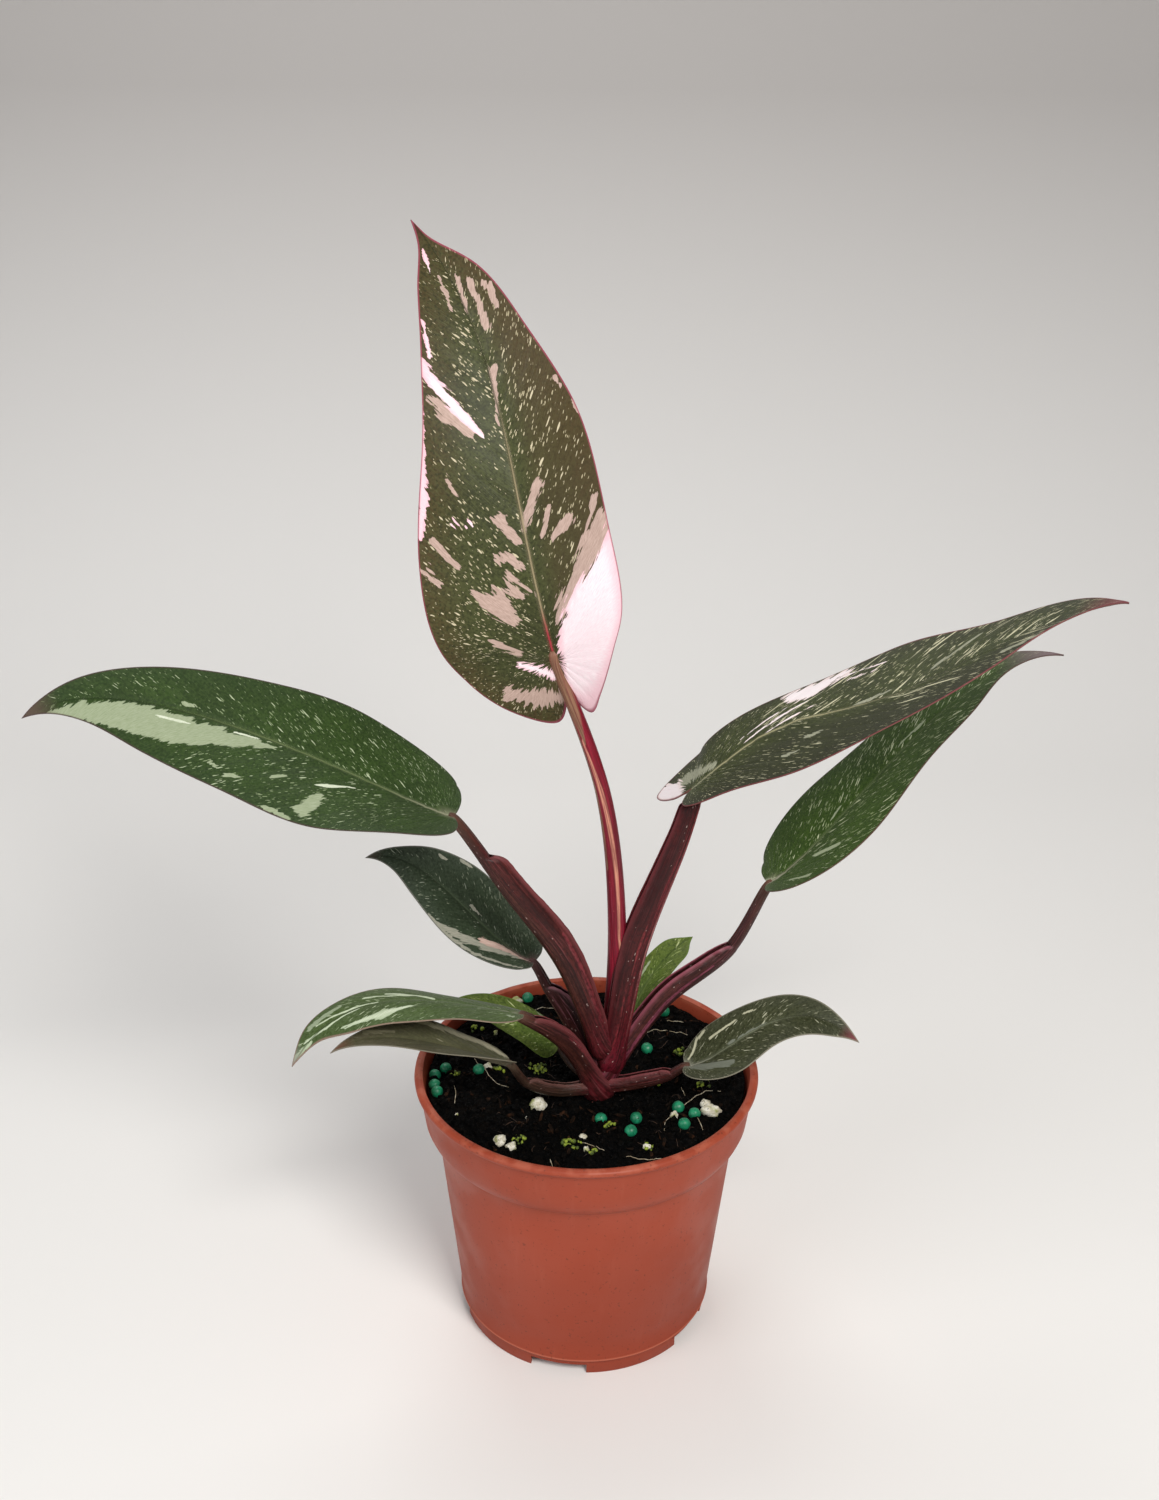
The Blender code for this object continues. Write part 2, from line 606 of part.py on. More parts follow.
def blade_material(leaf):
    """Dark green, turned towards pink where the blade has large pink patches."""
    green = np.array([0.030, 0.055, 0.020])
    pink = np.array([0.70, 0.36, 0.38])
    mixed = green + (pink - green) * 0.25 * leaf["pink"]
    return principled("variegated leaf", tuple(mixed), 0.35)


# Petioles

def petiole_section(radius, wing):
    """A petiole's section: a round back, and two sheath wings that stand up round a groove.

    The wing is their height in radii. With none, the section is round with a slight groove.
    """
    openness = min(1.0, 0.4 * wing)
    back = np.radians(np.linspace(0.0, -180.0, 8))
    outer = np.stack([np.cos(back) * (1.0 + 0.3 * openness), np.sin(back)], axis=1)
    outer_tip = (-1.0 - 0.2 * openness, 0.3 + wing)
    inner_tip = (-0.45 - 0.3 * openness, 0.75 + wing - 0.4 * openness)
    groove = (0.0, 0.85 - 0.65 * openness)
    left = [outer_tip, inner_tip]
    right = [(-x, y) for x, y in reversed(left)]
    return radius * np.concatenate([outer, left, [groove], right])


def grown_section(section, extra):
    """The section with every side moved outwards by the same amount."""
    step = np.roll(section, -1, axis=0) - section
    outward = unit(np.stack([-step[:, 1], step[:, 0]], axis=1))
    before = np.roll(outward, 1, axis=0)
    corner = outward + before
    corner = corner / np.maximum(0.5, (corner * outward).sum(axis=1))[:, None]
    return section + extra * corner


def petiole_rings(leaf, extra):
    """Rings of the petiole from the stem to the blade, its groove turned to the plant's middle."""
    foot, knee, rise = leaf["petiole"]
    spine_start = np.asarray(leaf["spine"][:2], float)
    leaving = unit(spine_start[1] - spine_start[0])
    face = np.asarray(leaf["face"], float)
    under = -unit(face - (leaving @ face) * leaving)
    end_radius = leaf["thick"][1] * PETIOLE_END_SHARE
    end = spine_start[0] - PETIOLE_END_GAP * leaving + PETIOLE_END_DROP * end_radius * under
    path = smooth_curve([foot, knee, rise, end], PETIOLE_SECTIONS)
    direction = unit(np.gradient(path, axis=0))
    share = np.linspace(0.0, 1.0, PETIOLE_SECTIONS)
    radius = leaf["thick"][0] + (leaf["thick"][1] - leaf["thick"][0]) * share
    radius[-1] = end_radius
    inward = np.array([0.0, 0.0, 1.0]) - GROOVE_TURN * unit(end - np.asarray(foot, float))
    rings = []
    for index in range(PETIOLE_SECTIONS):
        along = direction[index]
        up = unit(inward - (along @ inward) * along)
        side = np.cross(along, up)
        reach, height = leaf["sheath"]
        wing = height * float(np.clip((reach - share[index]) * SHEATH_FADE, 0.0, 1.0))
        wing = wing * min(1.0, SHEATH_AT_FOOT + SHEATH_GROWTH * share[index])
        section = grown_section(petiole_section(radius[index], wing), extra)
        rings.append(path[index] + section[:, :1] * side + section[:, 1:] * up)
    return rings


def make_petiole(label, leaf, cutters_so_far, parts, cutters):
    """A petiole, cut back to clear the stem, the other petioles and its own blade."""
    petiole = loft("petiole_" + label, petiole_rings(leaf, 0.0), parts)
    for cutter in cutters_so_far:
        cut_away(petiole, cutter, "MANIFOLD")
    socket = make_blade("socket_" + label, leaf, BLADE_THICKNESS + SOCKET_EXTRA, cutters,
                        SOCKET_SINUS_SHARE)
    make_cutter(socket)
    cut_away(petiole, socket, "MANIFOLD")
    settle(petiole)
    red = (0.16, 0.018, 0.03) if label == "top" else (0.075, 0.022, 0.026)
    petiole.data.materials.append(principled("maroon petiole", red, 0.35))
    swollen = loft("clearance_" + label, petiole_rings(leaf, GAP), cutters)
    make_cutter(swollen)
    return petiole, swollen


# Assembly

def centre_on_foot(things, cutters, root):
    """Move the whole object, cutters too, so that its box's bottom centre is the origin."""
    graph = bpy.context.evaluated_depsgraph_get()
    low = Vector((1e9, 1e9, 1e9))
    high = Vector((-1e9, -1e9, -1e9))
    for thing in things:
        evaluated = thing.evaluated_get(graph)
        for corner in evaluated.data.vertices:
            for axis in range(3):
                low[axis] = min(low[axis], corner.co[axis])
                high[axis] = max(high[axis], corner.co[axis])
    root.location = (-(low.x + high.x) / 2.0, -(low.y + high.y) / 2.0, -low.z)
    for thing in things + list(cutters.objects):
        thing.parent = root


def main():
    clear_scene()
    parts = new_collection(PART_NAME)
    cutters = new_collection("cutters")
    root = bpy.data.objects.new("plant_root", None)
    parts.objects.link(root)
    stem_clearance = tube_object("stem_clearance", stem_path(), stem_radii(GAP), STEM_SIDES, cutters)
    make_cutter(stem_clearance)
    things = [make_pot(parts, cutters), make_mix(parts, cutters), make_stem(parts)]
    in_the_way = [stem_clearance]
    order = ["right_high", "left_high", "top", "right_mid", "left_low", "left_mid", "right_low",
             "left_lowest", "left_back", "right_back"]
    for label in order:
        leaf = LEAVES[label]
        blade = make_blade("leaf_" + label, leaf, BLADE_THICKNESS, parts)
        blade.data.materials.append(blade_material(leaf))
        petiole, swollen = make_petiole(label, leaf, in_the_way, parts, cutters)
        in_the_way.append(swollen)
        things += [blade, petiole]
    bpy.context.view_layer.update()
    centre_on_foot(things, cutters, root)


main()
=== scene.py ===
import math

import bmesh
import bpy
import numpy as np
from mathutils import Matrix, Vector


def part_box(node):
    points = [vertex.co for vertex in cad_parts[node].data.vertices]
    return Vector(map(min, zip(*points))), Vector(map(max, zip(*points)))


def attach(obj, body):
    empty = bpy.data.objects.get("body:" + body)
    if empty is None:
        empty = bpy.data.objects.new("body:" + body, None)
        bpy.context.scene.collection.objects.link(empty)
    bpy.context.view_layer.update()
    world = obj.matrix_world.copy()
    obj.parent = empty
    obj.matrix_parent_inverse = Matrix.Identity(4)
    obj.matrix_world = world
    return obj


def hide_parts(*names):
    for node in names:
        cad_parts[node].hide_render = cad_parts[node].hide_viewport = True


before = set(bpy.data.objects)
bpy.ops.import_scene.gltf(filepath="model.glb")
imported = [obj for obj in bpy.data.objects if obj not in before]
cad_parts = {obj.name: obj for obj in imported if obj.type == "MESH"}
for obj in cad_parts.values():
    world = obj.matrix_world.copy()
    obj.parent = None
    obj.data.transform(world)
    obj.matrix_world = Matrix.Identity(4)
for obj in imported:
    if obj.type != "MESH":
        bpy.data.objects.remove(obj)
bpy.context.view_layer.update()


# Camera, lamps and the paper sweep
# The plant is seen from the front and above, in soft light from a strong lamp at the right, a
# weaker one at the left and one behind. It stands on a sheet of pale paper that curves up behind,
# with painted shade that makes the paper greyer the higher it rises.

MM = 0.001
SENSOR_WIDTH = 36.0
FOCAL_LENGTH = 43.2
CAMERA_FROM_AXIS = (-0.0033, -0.5276, 0.4618)
CAMERA_TILT = math.radians(65.4)
CAMERA_ROLL = math.radians(0.45)
ROOM_LIGHT = (0.75, 0.77, 0.8, 1.0)
ROOM_STRENGTH = 0.30
PAPER_PALE = "efedea"
PAPER_PAINTED_SHADE = "b9b5b2"
PAPER_SHADED_Z = 0.35
PAPER_HALF_WIDTH = 3.0
PAPER_COLUMNS = 9
PAPER_FRONT_Y = -2.5
PAPER_TOP_Z = 3.0
BEND_START_Y = 0.45
BEND_RADIUS = 0.5

pot_low, pot_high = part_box("nursery_pot")
POT_AXIS = np.array([(pot_low.x + pot_high.x) / 2, (pot_low.y + pot_high.y) / 2, 0.0])

camera_data = bpy.data.cameras.new("front_view")
camera_data.sensor_width = SENSOR_WIDTH
camera_data.lens = FOCAL_LENGTH
camera_data.clip_start = 0.01
camera = bpy.data.objects.new("front_view", camera_data)
bpy.context.scene.collection.objects.link(camera)
camera.matrix_world = (Matrix.Translation(Vector(POT_AXIS) + Vector(CAMERA_FROM_AXIS))
                       @ Matrix.Rotation(CAMERA_TILT, 4, "X")
                       @ Matrix.Rotation(CAMERA_ROLL, 4, "Z"))
bpy.context.scene.camera = camera


def soft_lamp(name, place, aim, size, power, colour):
    """A square area lamp at a place, aimed at a point, all in metres from the pot's axis."""
    data = bpy.data.lights.new(name, "AREA")
    data.size = size
    data.energy = power
    data.color = colour
    lamp = bpy.data.objects.new(name, data)
    lamp.location = Vector(POT_AXIS) + Vector(place)
    lamp.rotation_euler = (Vector(aim) - Vector(place)).to_track_quat("-Z", "Y").to_euler()
    bpy.context.scene.collection.objects.link(lamp)


soft_lamp("key_lamp", (0.34, -0.82, 1.02), (0.0, 0.0, 0.15), 0.45, 13.0, (1.0, 0.98, 0.95))
soft_lamp("fill_lamp", (-0.9, -0.7, 0.6), (0.0, 0.0, 0.15), 0.8, 4.2, (0.96, 0.98, 1.0))
soft_lamp("back_lamp", (-0.2, 0.6, 1.1), (0.0, 0.0, 0.1), 0.6, 3.5, (1.0, 1.0, 1.0))
bpy.context.scene.view_settings.view_transform = "Standard"

world = bpy.data.worlds.new("soft_room")
bpy.context.scene.world = world
world.use_nodes = True
world.node_tree.nodes["Background"].inputs["Color"].default_value = ROOM_LIGHT
world.node_tree.nodes["Background"].inputs["Strength"].default_value = ROOM_STRENGTH


def srgb(code):
    """A colour written as six hexadecimal digits, as the linear values that Blender uses."""
    shown = [int(code[i:i + 2], 16) / 255.0 for i in (0, 2, 4)]
    linear = [c / 12.92 if c <= 0.04045 else ((c + 0.055) / 1.055) ** 2.4 for c in shown]
    return (*linear, 1.0)


def grid_faces(rows, columns, start=0, closed_rows=False, closed_columns=False):
    """Quads between neighbouring points of a grid stored row by row, closed round if asked."""
    r, c = np.meshgrid(np.arange(rows - 1 + closed_rows), np.arange(columns - 1 + closed_columns),
                       indexing="ij")
    next_r, next_c = (r + 1) % rows, (c + 1) % columns
    quads = np.stack([r * columns + c, r * columns + next_c, next_r * columns + next_c,
                      next_r * columns + c], axis=-1)
    return quads.reshape(-1, 4) + start


def make_piece(name, points, faces, material, smooth=True):
    """A mesh object at the origin from points in metres and a list of faces."""
    mesh = bpy.data.meshes.new(name)
    mesh.from_pydata(np.asarray(points).tolist(), [], [list(map(int, f)) for f in faces])
    mesh.polygons.foreach_set("use_smooth", np.full(len(mesh.polygons), smooth))
    mesh.materials.append(material)
    piece = bpy.data.objects.new(name, mesh)
    bpy.context.scene.collection.objects.link(piece)
    return piece


def add_node(tree, kind, inputs=None, **settings):
    """One shader node. An input is a link, a value, or a colour's six hexadecimal digits."""
    made = tree.nodes.new("ShaderNode" + kind)
    for name, value in settings.items():
        setattr(made, name, value)
    for name, value in (inputs or {}).items():
        if isinstance(value, bpy.types.NodeSocket):
            tree.links.new(value, made.inputs[name])
        else:
            made.inputs[name].default_value = srgb(value) if isinstance(value, str) else value
    return made


def calculate(tree, operation, *values):
    """One step of arithmetic on masks and numbers."""
    return add_node(tree, "Math", dict(enumerate(values)), operation=operation).outputs[0]


def blend_colour(tree, amount, under, over, share=1.0):
    """Lay one colour over another by a mask, weakened to a share of it."""
    if share != 1.0:
        amount = calculate(tree, "MULTIPLY", amount, share)
    return add_node(tree, "Mix", {0: amount, 6: under, 7: over}, data_type="RGBA").outputs[2]


def object_place(tree):
    """The place on a piece, in metres in the part's frame."""
    return add_node(tree, "TexCoord").outputs["Object"]


def split(tree, vector):
    """The three numbers of a vector, by index or as X, Y and Z."""
    return add_node(tree, "SeparateXYZ", {"Vector": vector}).outputs


def new_material(name, **sockets):
    """A material with a Principled shader, whose constant sockets are set directly."""
    material = bpy.data.materials.new(name)
    material.use_nodes = True
    shader = material.node_tree.nodes["Principled BSDF"]
    for socket, value in sockets.items():
        shader.inputs[socket.replace("_", " ")].default_value = value
    return material, material.node_tree, shader


paper, paper_tree, paper_shader = new_material("pale_paper", Roughness=0.9)
# Painted shade: the paper's colour goes from pale to grey as the sweep rises.
paper_shade_rise = add_node(paper_tree, "MapRange", {
    "Value": split(paper_tree, object_place(paper_tree))["Z"],
    "From Min": 0.0, "From Max": PAPER_SHADED_Z}).outputs["Result"]
paper_colour = blend_colour(paper_tree, paper_shade_rise, PAPER_PALE, PAPER_PAINTED_SHADE)
paper_tree.links.new(paper_colour, paper_shader.inputs["Base Color"])
bend = np.linspace(0.0, math.pi / 2, 25)
sweep_y = np.concatenate([[PAPER_FRONT_Y, -0.5, 0.2], BEND_START_Y + BEND_RADIUS * np.sin(bend),
                          [BEND_START_Y + BEND_RADIUS] * 2])
sweep_z = np.concatenate([[0.0] * 3, BEND_RADIUS - BEND_RADIUS * np.cos(bend),
                          [PAPER_TOP_Z / 2, PAPER_TOP_Z]])
sweep_x = np.linspace(-PAPER_HALF_WIDTH, PAPER_HALF_WIDTH, PAPER_COLUMNS)
sweep = np.stack(np.broadcast_arrays(sweep_x[:, None], sweep_y[None], sweep_z[None]), axis=-1)
floor = make_piece("paper_sweep", sweep.reshape(-1, 3) + POT_AXIS,
                   grid_faces(PAPER_COLUMNS, len(sweep_y)), paper)


# Nursery pot
# A tapered pot of thin polypropylene, injection moulded in terracotta red. A band under the rim
# lets the pots nest, a fine line of flash runs round above the foot ring, and that ring has five
# notches and five holes for draining.

RIM_RADIUS = 60.0
POT_HEIGHT = 98.5
BODY_TOP_RADIUS = 52.3
BODY_TOP_Z = 76.0
BAND_FOOT_Z = BODY_TOP_Z + 6.0
FOOT_RADIUS = 44.2
FOOT_HEIGHT = 4.2
FLASH_Z = 6.5
TAPER_FOOT_Z = 7.4
FLOOR_TOP_Z = 5.6
WALL = 1.3
LIP_DEPTH = 2.6
LIP_WAVER = 0.12
LIP_SPREAD = 0.10
NICK_DEPTH = 0.35
OVAL = 0.25
POT_STEPS = 288
POT_WELD = 0.005
NOTCHES = 5
FIRST_NOTCH_AZIMUTH = math.radians(-102.0)
NOTCH_SIZE = (12.0, 20.0, 7.6)
DRAIN_HOLE_RADIUS = 3.5
DRAIN_HOLE_CIRCLE = 33.0
DRILL_LENGTH = 20.0
DRILL_Z = 6.0
SHARP_ANGLE = math.radians(38)
TERRACOTTA = "a0452e"
TERRACOTTA_DARK_AND_SHADE = "873723"
TERRACOTTA_WORN = "c27158"
TERRACOTTA_SPECK = "5a2a1e"


def inner_radius(z):
    """The inner wall's radius at a height, straight between the corners of the moulding."""
    heights = [FLOOR_TOP_Z, BODY_TOP_Z, BAND_FOOT_Z, POT_HEIGHT]
    radii = np.array([FOOT_RADIUS + 0.8, BODY_TOP_RADIUS, RIM_RADIUS - 3.4, RIM_RADIUS - 1.9])
    return np.interp(z, heights, radii - WALL)


def lattice_noise(x, y, seed):
    """Seeded values from -1 to 1 on a unit lattice, blended between by 3t^2 - 2t^3."""
    table = np.random.default_rng(seed).uniform(-1.0, 1.0, (64, 64))
    i, j = np.floor(x).astype(int), np.floor(y).astype(int)
    s, t = x - i, y - j
    s, t = s * s * (3 - 2 * s), t * t * (3 - 2 * t)
    near = table[i % 64, j % 64] * (1 - s) + table[(i + 1) % 64, j % 64] * s
    far = table[i % 64, (j + 1) % 64] * (1 - s) + table[(i + 1) % 64, (j + 1) % 64] * s
    return near * (1 - t) + far * t


def pot_profile():
    """The shell's outline as (radius, height): down the outside, along the foot, up the inside."""
    rim = [(2.1, 0.0), (1.3, 0.05), (0.6, 0.3), (0.15, 0.75), (0.0, 1.3), (0.1, 1.95), (0.5, 2.4),
           (1.15, 2.65), (1.5, 3.0), (1.65, 3.8), (2.2, 8.0), (2.7, 12.0)]
    outer = [(RIM_RADIUS - inset, POT_HEIGHT - drop) for inset, drop in rim]
    shoulder = [(RIM_RADIUS - 3.3, BAND_FOOT_Z), (RIM_RADIUS - 4.2, BODY_TOP_Z + 3.8),
                (RIM_RADIUS - 5.4, BODY_TOP_Z + 2.0), (BODY_TOP_RADIUS + 1.05, BODY_TOP_Z + 0.9),
                (BODY_TOP_RADIUS + 0.35, BODY_TOP_Z + 0.2), (BODY_TOP_RADIUS, BODY_TOP_Z - 0.8)]
    taper = [(BODY_TOP_RADIUS + (FOOT_RADIUS + 0.9 - BODY_TOP_RADIUS) * k / 8.0,
              BODY_TOP_Z - 0.8 - (BODY_TOP_Z - 0.8 - TAPER_FOOT_Z) * k / 8.0) for k in range(1, 9)]
    foot = [(FOOT_RADIUS + 1.25, FLASH_Z + 0.3), (FOOT_RADIUS + 1.35, FLASH_Z),
            (FOOT_RADIUS + 1.1, FLASH_Z - 0.3), (FOOT_RADIUS + 0.25, FLASH_Z - 0.55),
            (FOOT_RADIUS + 0.05, FLASH_Z - 1.0), (FOOT_RADIUS, FOOT_HEIGHT - 0.2),
            (FOOT_RADIUS, 0.4), (FOOT_RADIUS - 0.15, 0.1), (FOOT_RADIUS - 0.4, 0.0),
            (FOOT_RADIUS - 1.3, 0.0), (FOOT_RADIUS - 1.6, 0.3),
            (FOOT_RADIUS - 1.6, FOOT_HEIGHT - 0.3), (FOOT_RADIUS - 1.9, FOOT_HEIGHT),
            (30.0, FOOT_HEIGHT), (12.0, FOOT_HEIGHT), (0.0, FOOT_HEIGHT), (0.0, FLOOR_TOP_Z)]
    inside = [(float(inner_radius(z)), z) for z in np.linspace(FLOOR_TOP_Z, POT_HEIGHT - 2.4, 16)]
    inside += [(RIM_RADIUS - 3.05, POT_HEIGHT - 1.2), (RIM_RADIUS - 2.9, POT_HEIGHT - 0.4)]
    return np.array(outer + shoulder + taper + foot + inside)


def pot_surface():
    """The profile turned about Z, slightly oval; the lip wavers and has moulding nicks."""
    profile = pot_profile()
    turn = np.linspace(0.0, math.tau, POT_STEPS, endpoint=False)[:, None]
    radius = profile[:, 0][None, :] + 0.0 * turn
    height = profile[:, 1][None, :] + 0.0 * turn
    lip = np.clip((height - (POT_HEIGHT - LIP_DEPTH)) / 2.0, 0.0, 1.0)
    waver = lattice_noise(turn * 64 / math.tau, 0 * turn + 2.5, 5)
    nick = lattice_noise(turn * 256 / math.tau, 0 * turn + 7.5, 6)
    height = height + lip * (LIP_WAVER * waver - NICK_DEPTH * np.clip(nick - 0.72, 0.0, 1.0))
    radius = radius + LIP_SPREAD * lip * waver
    radius = radius + OVAL * np.sin(2 * turn + 0.6) * (height / POT_HEIGHT) ** 2
    return np.stack([radius * np.cos(turn), radius * np.sin(turn), height], axis=-1)


def new_group(name, vector, values, results=("Mask",)):
    """An empty node group: a vector and named values go in, and named masks come out."""
    group = bpy.data.node_groups.new(name, "ShaderNodeTree")
    face = group.interface
    face.new_socket(vector, in_out="INPUT", socket_type="NodeSocketVector")
    for label, value in values.items():
        socket = face.new_socket(label, in_out="INPUT", socket_type="NodeSocketFloat")
        socket.default_value = value
    for label in results:
        face.new_socket(label, in_out="OUTPUT", socket_type="NodeSocketFloat")
    given = group.nodes.new("NodeGroupInput").outputs
    return group, given, group.nodes.new("NodeGroupOutput").inputs


def ramp(tree, value, low, high, to_low=0.0, to_high=1.0):
    """A smooth step from one value to another as the input goes from low to high."""
    return add_node(tree, "MapRange", {"Value": value, "From Min": low, "From Max": high,
                                       "To Min": to_low, "To Max": to_high},
                    interpolation_type="SMOOTHSTEP").outputs["Result"]


def blotch_group():
    """A node group: a mask of soft-edged blotches from noise between two limits."""
    group, given, result = new_group("soft_blotches", "Vector", {"Scale": 10.0, "Detail": 3.0,
                                                                 "Low": 0.45, "High": 0.6})
    noise = add_node(group, "TexNoise", {n: given[n] for n in ("Vector", "Scale", "Detail")})
    edge = ramp(group, noise.outputs["Fac"], given["Low"], given["High"])
    group.links.new(edge, result["Mask"])
    return group


soft_blotches = blotch_group()


def blotches(tree, vector, scale, low, high, detail=3.0):
    """Place the blotch group in a material and give its mask."""
    values = {"Vector": vector, "Scale": scale, "Detail": detail, "Low": low, "High": high}
    return add_node(tree, "Group", values, node_tree=soft_blotches).outputs["Mask"]


def product(tree, a, b):
    """Two masks multiplied."""
    return calculate(tree, "MULTIPLY", a, b)


def stretch(tree, vector, factors):
    """A vector multiplied by three factors, or by another vector."""
    made = add_node(tree, "VectorMath", {0: vector, 1: factors}, operation="MULTIPLY")
    return made.outputs["Vector"]


def grain_group():
    """A node group: the height of a fine grain, which is plain noise."""
    group, given, result = new_group("fine_grain", "Vector", {"Scale": 1000.0, "Detail": 2.0},
                                     ("Height",))
    noise = add_node(group, "TexNoise", {n: given[n] for n in ("Vector", "Scale", "Detail")})
    group.links.new(noise.outputs["Fac"], result["Height"])
    return group


fine_grain = grain_group()


def grain(tree, where, scale, detail=2.0):
    """Place the grain group in a material and give its height, for the relief."""
    values = {"Vector": where, "Scale": scale, "Detail": detail}
    return add_node(tree, "Group", values, node_tree=fine_grain).outputs["Height"]


def dress(tree, shader, colour, rough, relief, strength, depth):
    """Feed colour, roughness and the bump of a relief to the shader; rough may be None."""
    tree.links.new(colour, shader.inputs["Base Color"])
    if rough is not None:
        tree.links.new(rough, shader.inputs["Roughness"])
    bump = add_node(tree, "Bump", {"Height": relief, "Strength": strength, "Distance": depth})
    tree.links.new(bump.outputs["Normal"], shader.inputs["Normal"])


def pot_finish():
    """Red plastic: cloudy colour, a worn lip, scuffs, and painted shade that darkens it towards
    the foot.
    """
    material, tree, shader = new_material("terracotta_plastic", Specular_IOR_Level=0.25)
    where = object_place(tree)
    height = split(tree, where)["Z"]
    colour = blend_colour(tree, blotches(tree, where, 22.0, 0.35, 0.7), TERRACOTTA,
                          TERRACOTTA_DARK_AND_SHADE, 0.35)
    # Painted shade: the red darkens from the top of the body down to the foot.
    low = ramp(tree, height, (BODY_TOP_Z - 1.0) * MM, 0.0)
    colour = blend_colour(tree, low, colour, TERRACOTTA_DARK_AND_SHADE, 0.55)
    scuffs = blotches(tree, stretch(tree, where, (1.0, 1.0, 0.12)), 260.0, 0.56, 0.78)
    colour = blend_colour(tree, scuffs, colour, TERRACOTTA_WORN, 0.08)
    flash = product(tree, ramp(tree, height, (FLASH_Z - 0.5) * MM, (FLASH_Z - 0.1) * MM),
                    ramp(tree, height, (FLASH_Z + 0.6) * MM, (FLASH_Z + 0.2) * MM))
    colour = blend_colour(tree, flash, colour, TERRACOTTA_WORN, 0.5)
    lip = ramp(tree, height, (POT_HEIGHT - 2.3) * MM, (POT_HEIGHT - 0.1) * MM)
    chips = blotches(tree, where, 170.0, 0.42, 0.62)
    colour = blend_colour(tree, product(tree, lip, chips), colour, TERRACOTTA_WORN, 0.4)
    specks = blotches(tree, where, 900.0, 0.66, 0.74, 1.0)
    colour = blend_colour(tree, specks, colour, TERRACOTTA_SPECK, 0.5)
    gloss = ramp(tree, blotches(tree, where, 60.0, 0.3, 0.7), 0.0, 1.0, 0.42, 0.58)
    dress(tree, shader, colour, gloss, grain(tree, where, 1400.0), 0.12, 0.0002)
    return material


def place_mm(points):
    """Points in millimetres from the pot's axis, as metres in the part's frame."""
    return np.asarray(points).reshape(-1, 3) * MM + POT_AXIS


def weld(piece, distance=0.002):
    """Merge points within a distance in mm, drop what has no area, turn the faces outwards."""
    work = bmesh.new()
    work.from_mesh(piece.data)
    bmesh.ops.remove_doubles(work, verts=work.verts, dist=distance * MM)
    bmesh.ops.dissolve_degenerate(work, edges=work.edges, dist=distance * MM)
    loose = [v for v in work.verts if not v.link_faces]
    bmesh.ops.delete(work, geom=loose, context="VERTS")
    bmesh.ops.recalc_face_normals(work, faces=work.faces)
    work.to_mesh(piece.data)
    work.free()


def pot_cutter():
    """A block for each notch and a drill for each hole, evenly spaced round the pot's axis."""
    work = bmesh.new()
    for k in range(NOTCHES):
        azimuth = FIRST_NOTCH_AZIMUTH + k * math.tau / NOTCHES
        block = bmesh.ops.create_cube(work, size=MM)["verts"]
        bmesh.ops.scale(work, vec=NOTCH_SIZE, verts=block)
        bmesh.ops.translate(work, vec=((FOOT_RADIUS - 1.0) * MM, 0.0, 0.0), verts=block)
        bmesh.ops.rotate(work, cent=(0, 0, 0), verts=block,
                         matrix=Matrix.Rotation(azimuth, 3, "Z"))
        drill = bmesh.ops.create_cone(work, cap_ends=True, segments=32, depth=DRILL_LENGTH * MM,
                                      radius1=DRAIN_HOLE_RADIUS * MM,
                                      radius2=DRAIN_HOLE_RADIUS * MM)["verts"]
        reach = DRAIN_HOLE_CIRCLE * MM
        bmesh.ops.translate(work, verts=drill, vec=(reach * math.cos(azimuth),
                                                    reach * math.sin(azimuth), DRILL_Z * MM))
    bmesh.ops.translate(work, vec=Vector(POT_AXIS), verts=work.verts)
    mesh = bpy.data.meshes.new("pot_cutter")
    work.to_mesh(mesh)
    work.free()
    cutter = bpy.data.objects.new("pot_cutter", mesh)
    bpy.context.scene.collection.objects.link(cutter)
    return cutter


pot_grid = pot_surface()
pot = make_piece("pot_shell", place_mm(pot_grid),
                 grid_faces(*pot_grid.shape[:2], closed_rows=True, closed_columns=True),
                 pot_finish())
weld(pot, POT_WELD)
cutter = pot_cutter()
cut = pot.modifiers.new("notches", "BOOLEAN")
cut.operation = "DIFFERENCE"
cut.solver = "EXACT"
cut.object = cutter
bpy.context.view_layer.update()
cut_mesh = bpy.data.meshes.new_from_object(
    pot.evaluated_get(bpy.context.evaluated_depsgraph_get()))
pot.modifiers.clear()
pot.data = cut_mesh
pot.data.set_sharp_from_angle(angle=SHARP_ANGLE)
bpy.data.objects.remove(cutter, do_unlink=True)
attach(pot, "root")
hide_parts("nursery_pot")


# Potting mix
# Damp peat and fine bark that fills the pot to just under the rim, rammed down lightly by hand.
# Its crumbs, chips and rootlets lie loose on top and are pressed a little into it.

MIX_TOP_Z = 91.5
DISH_INNER = 18.0
DISH_OUTER = 42.0
DISH_RISE = 3.2
MIX_NOISE = [(1.0, 0.07, 9, 11), (0.8, 0.22, 9, 12), (0.45, 0.7, 90, 13), (0.22, 1.9, 200, 14)]
MOUND_PLACE = (5, -6)
MOUND_HEIGHT = 1.6
MOUND_SPREAD_SQUARED = 90.0
WALL_DIP = 0.8
WALL_DIP_START = 50.0
WALL_DIP_WIDTH = 5.0
MIX_RINGS = 110
MIX_SECTORS = 300
PEAT_BLACK = "030303"
PEAT_BROWN = "100b07"
PEAT_CRUMB = "32261c"
BARK_DARK = "17100b"
BARK_BROWN = "3a2417"
CRUMBS = 3000
CHIPS = 170
FIBRES = 90
ROOTLET_RADIUS = 0.13
FIBRE_RADIUS = 0.11


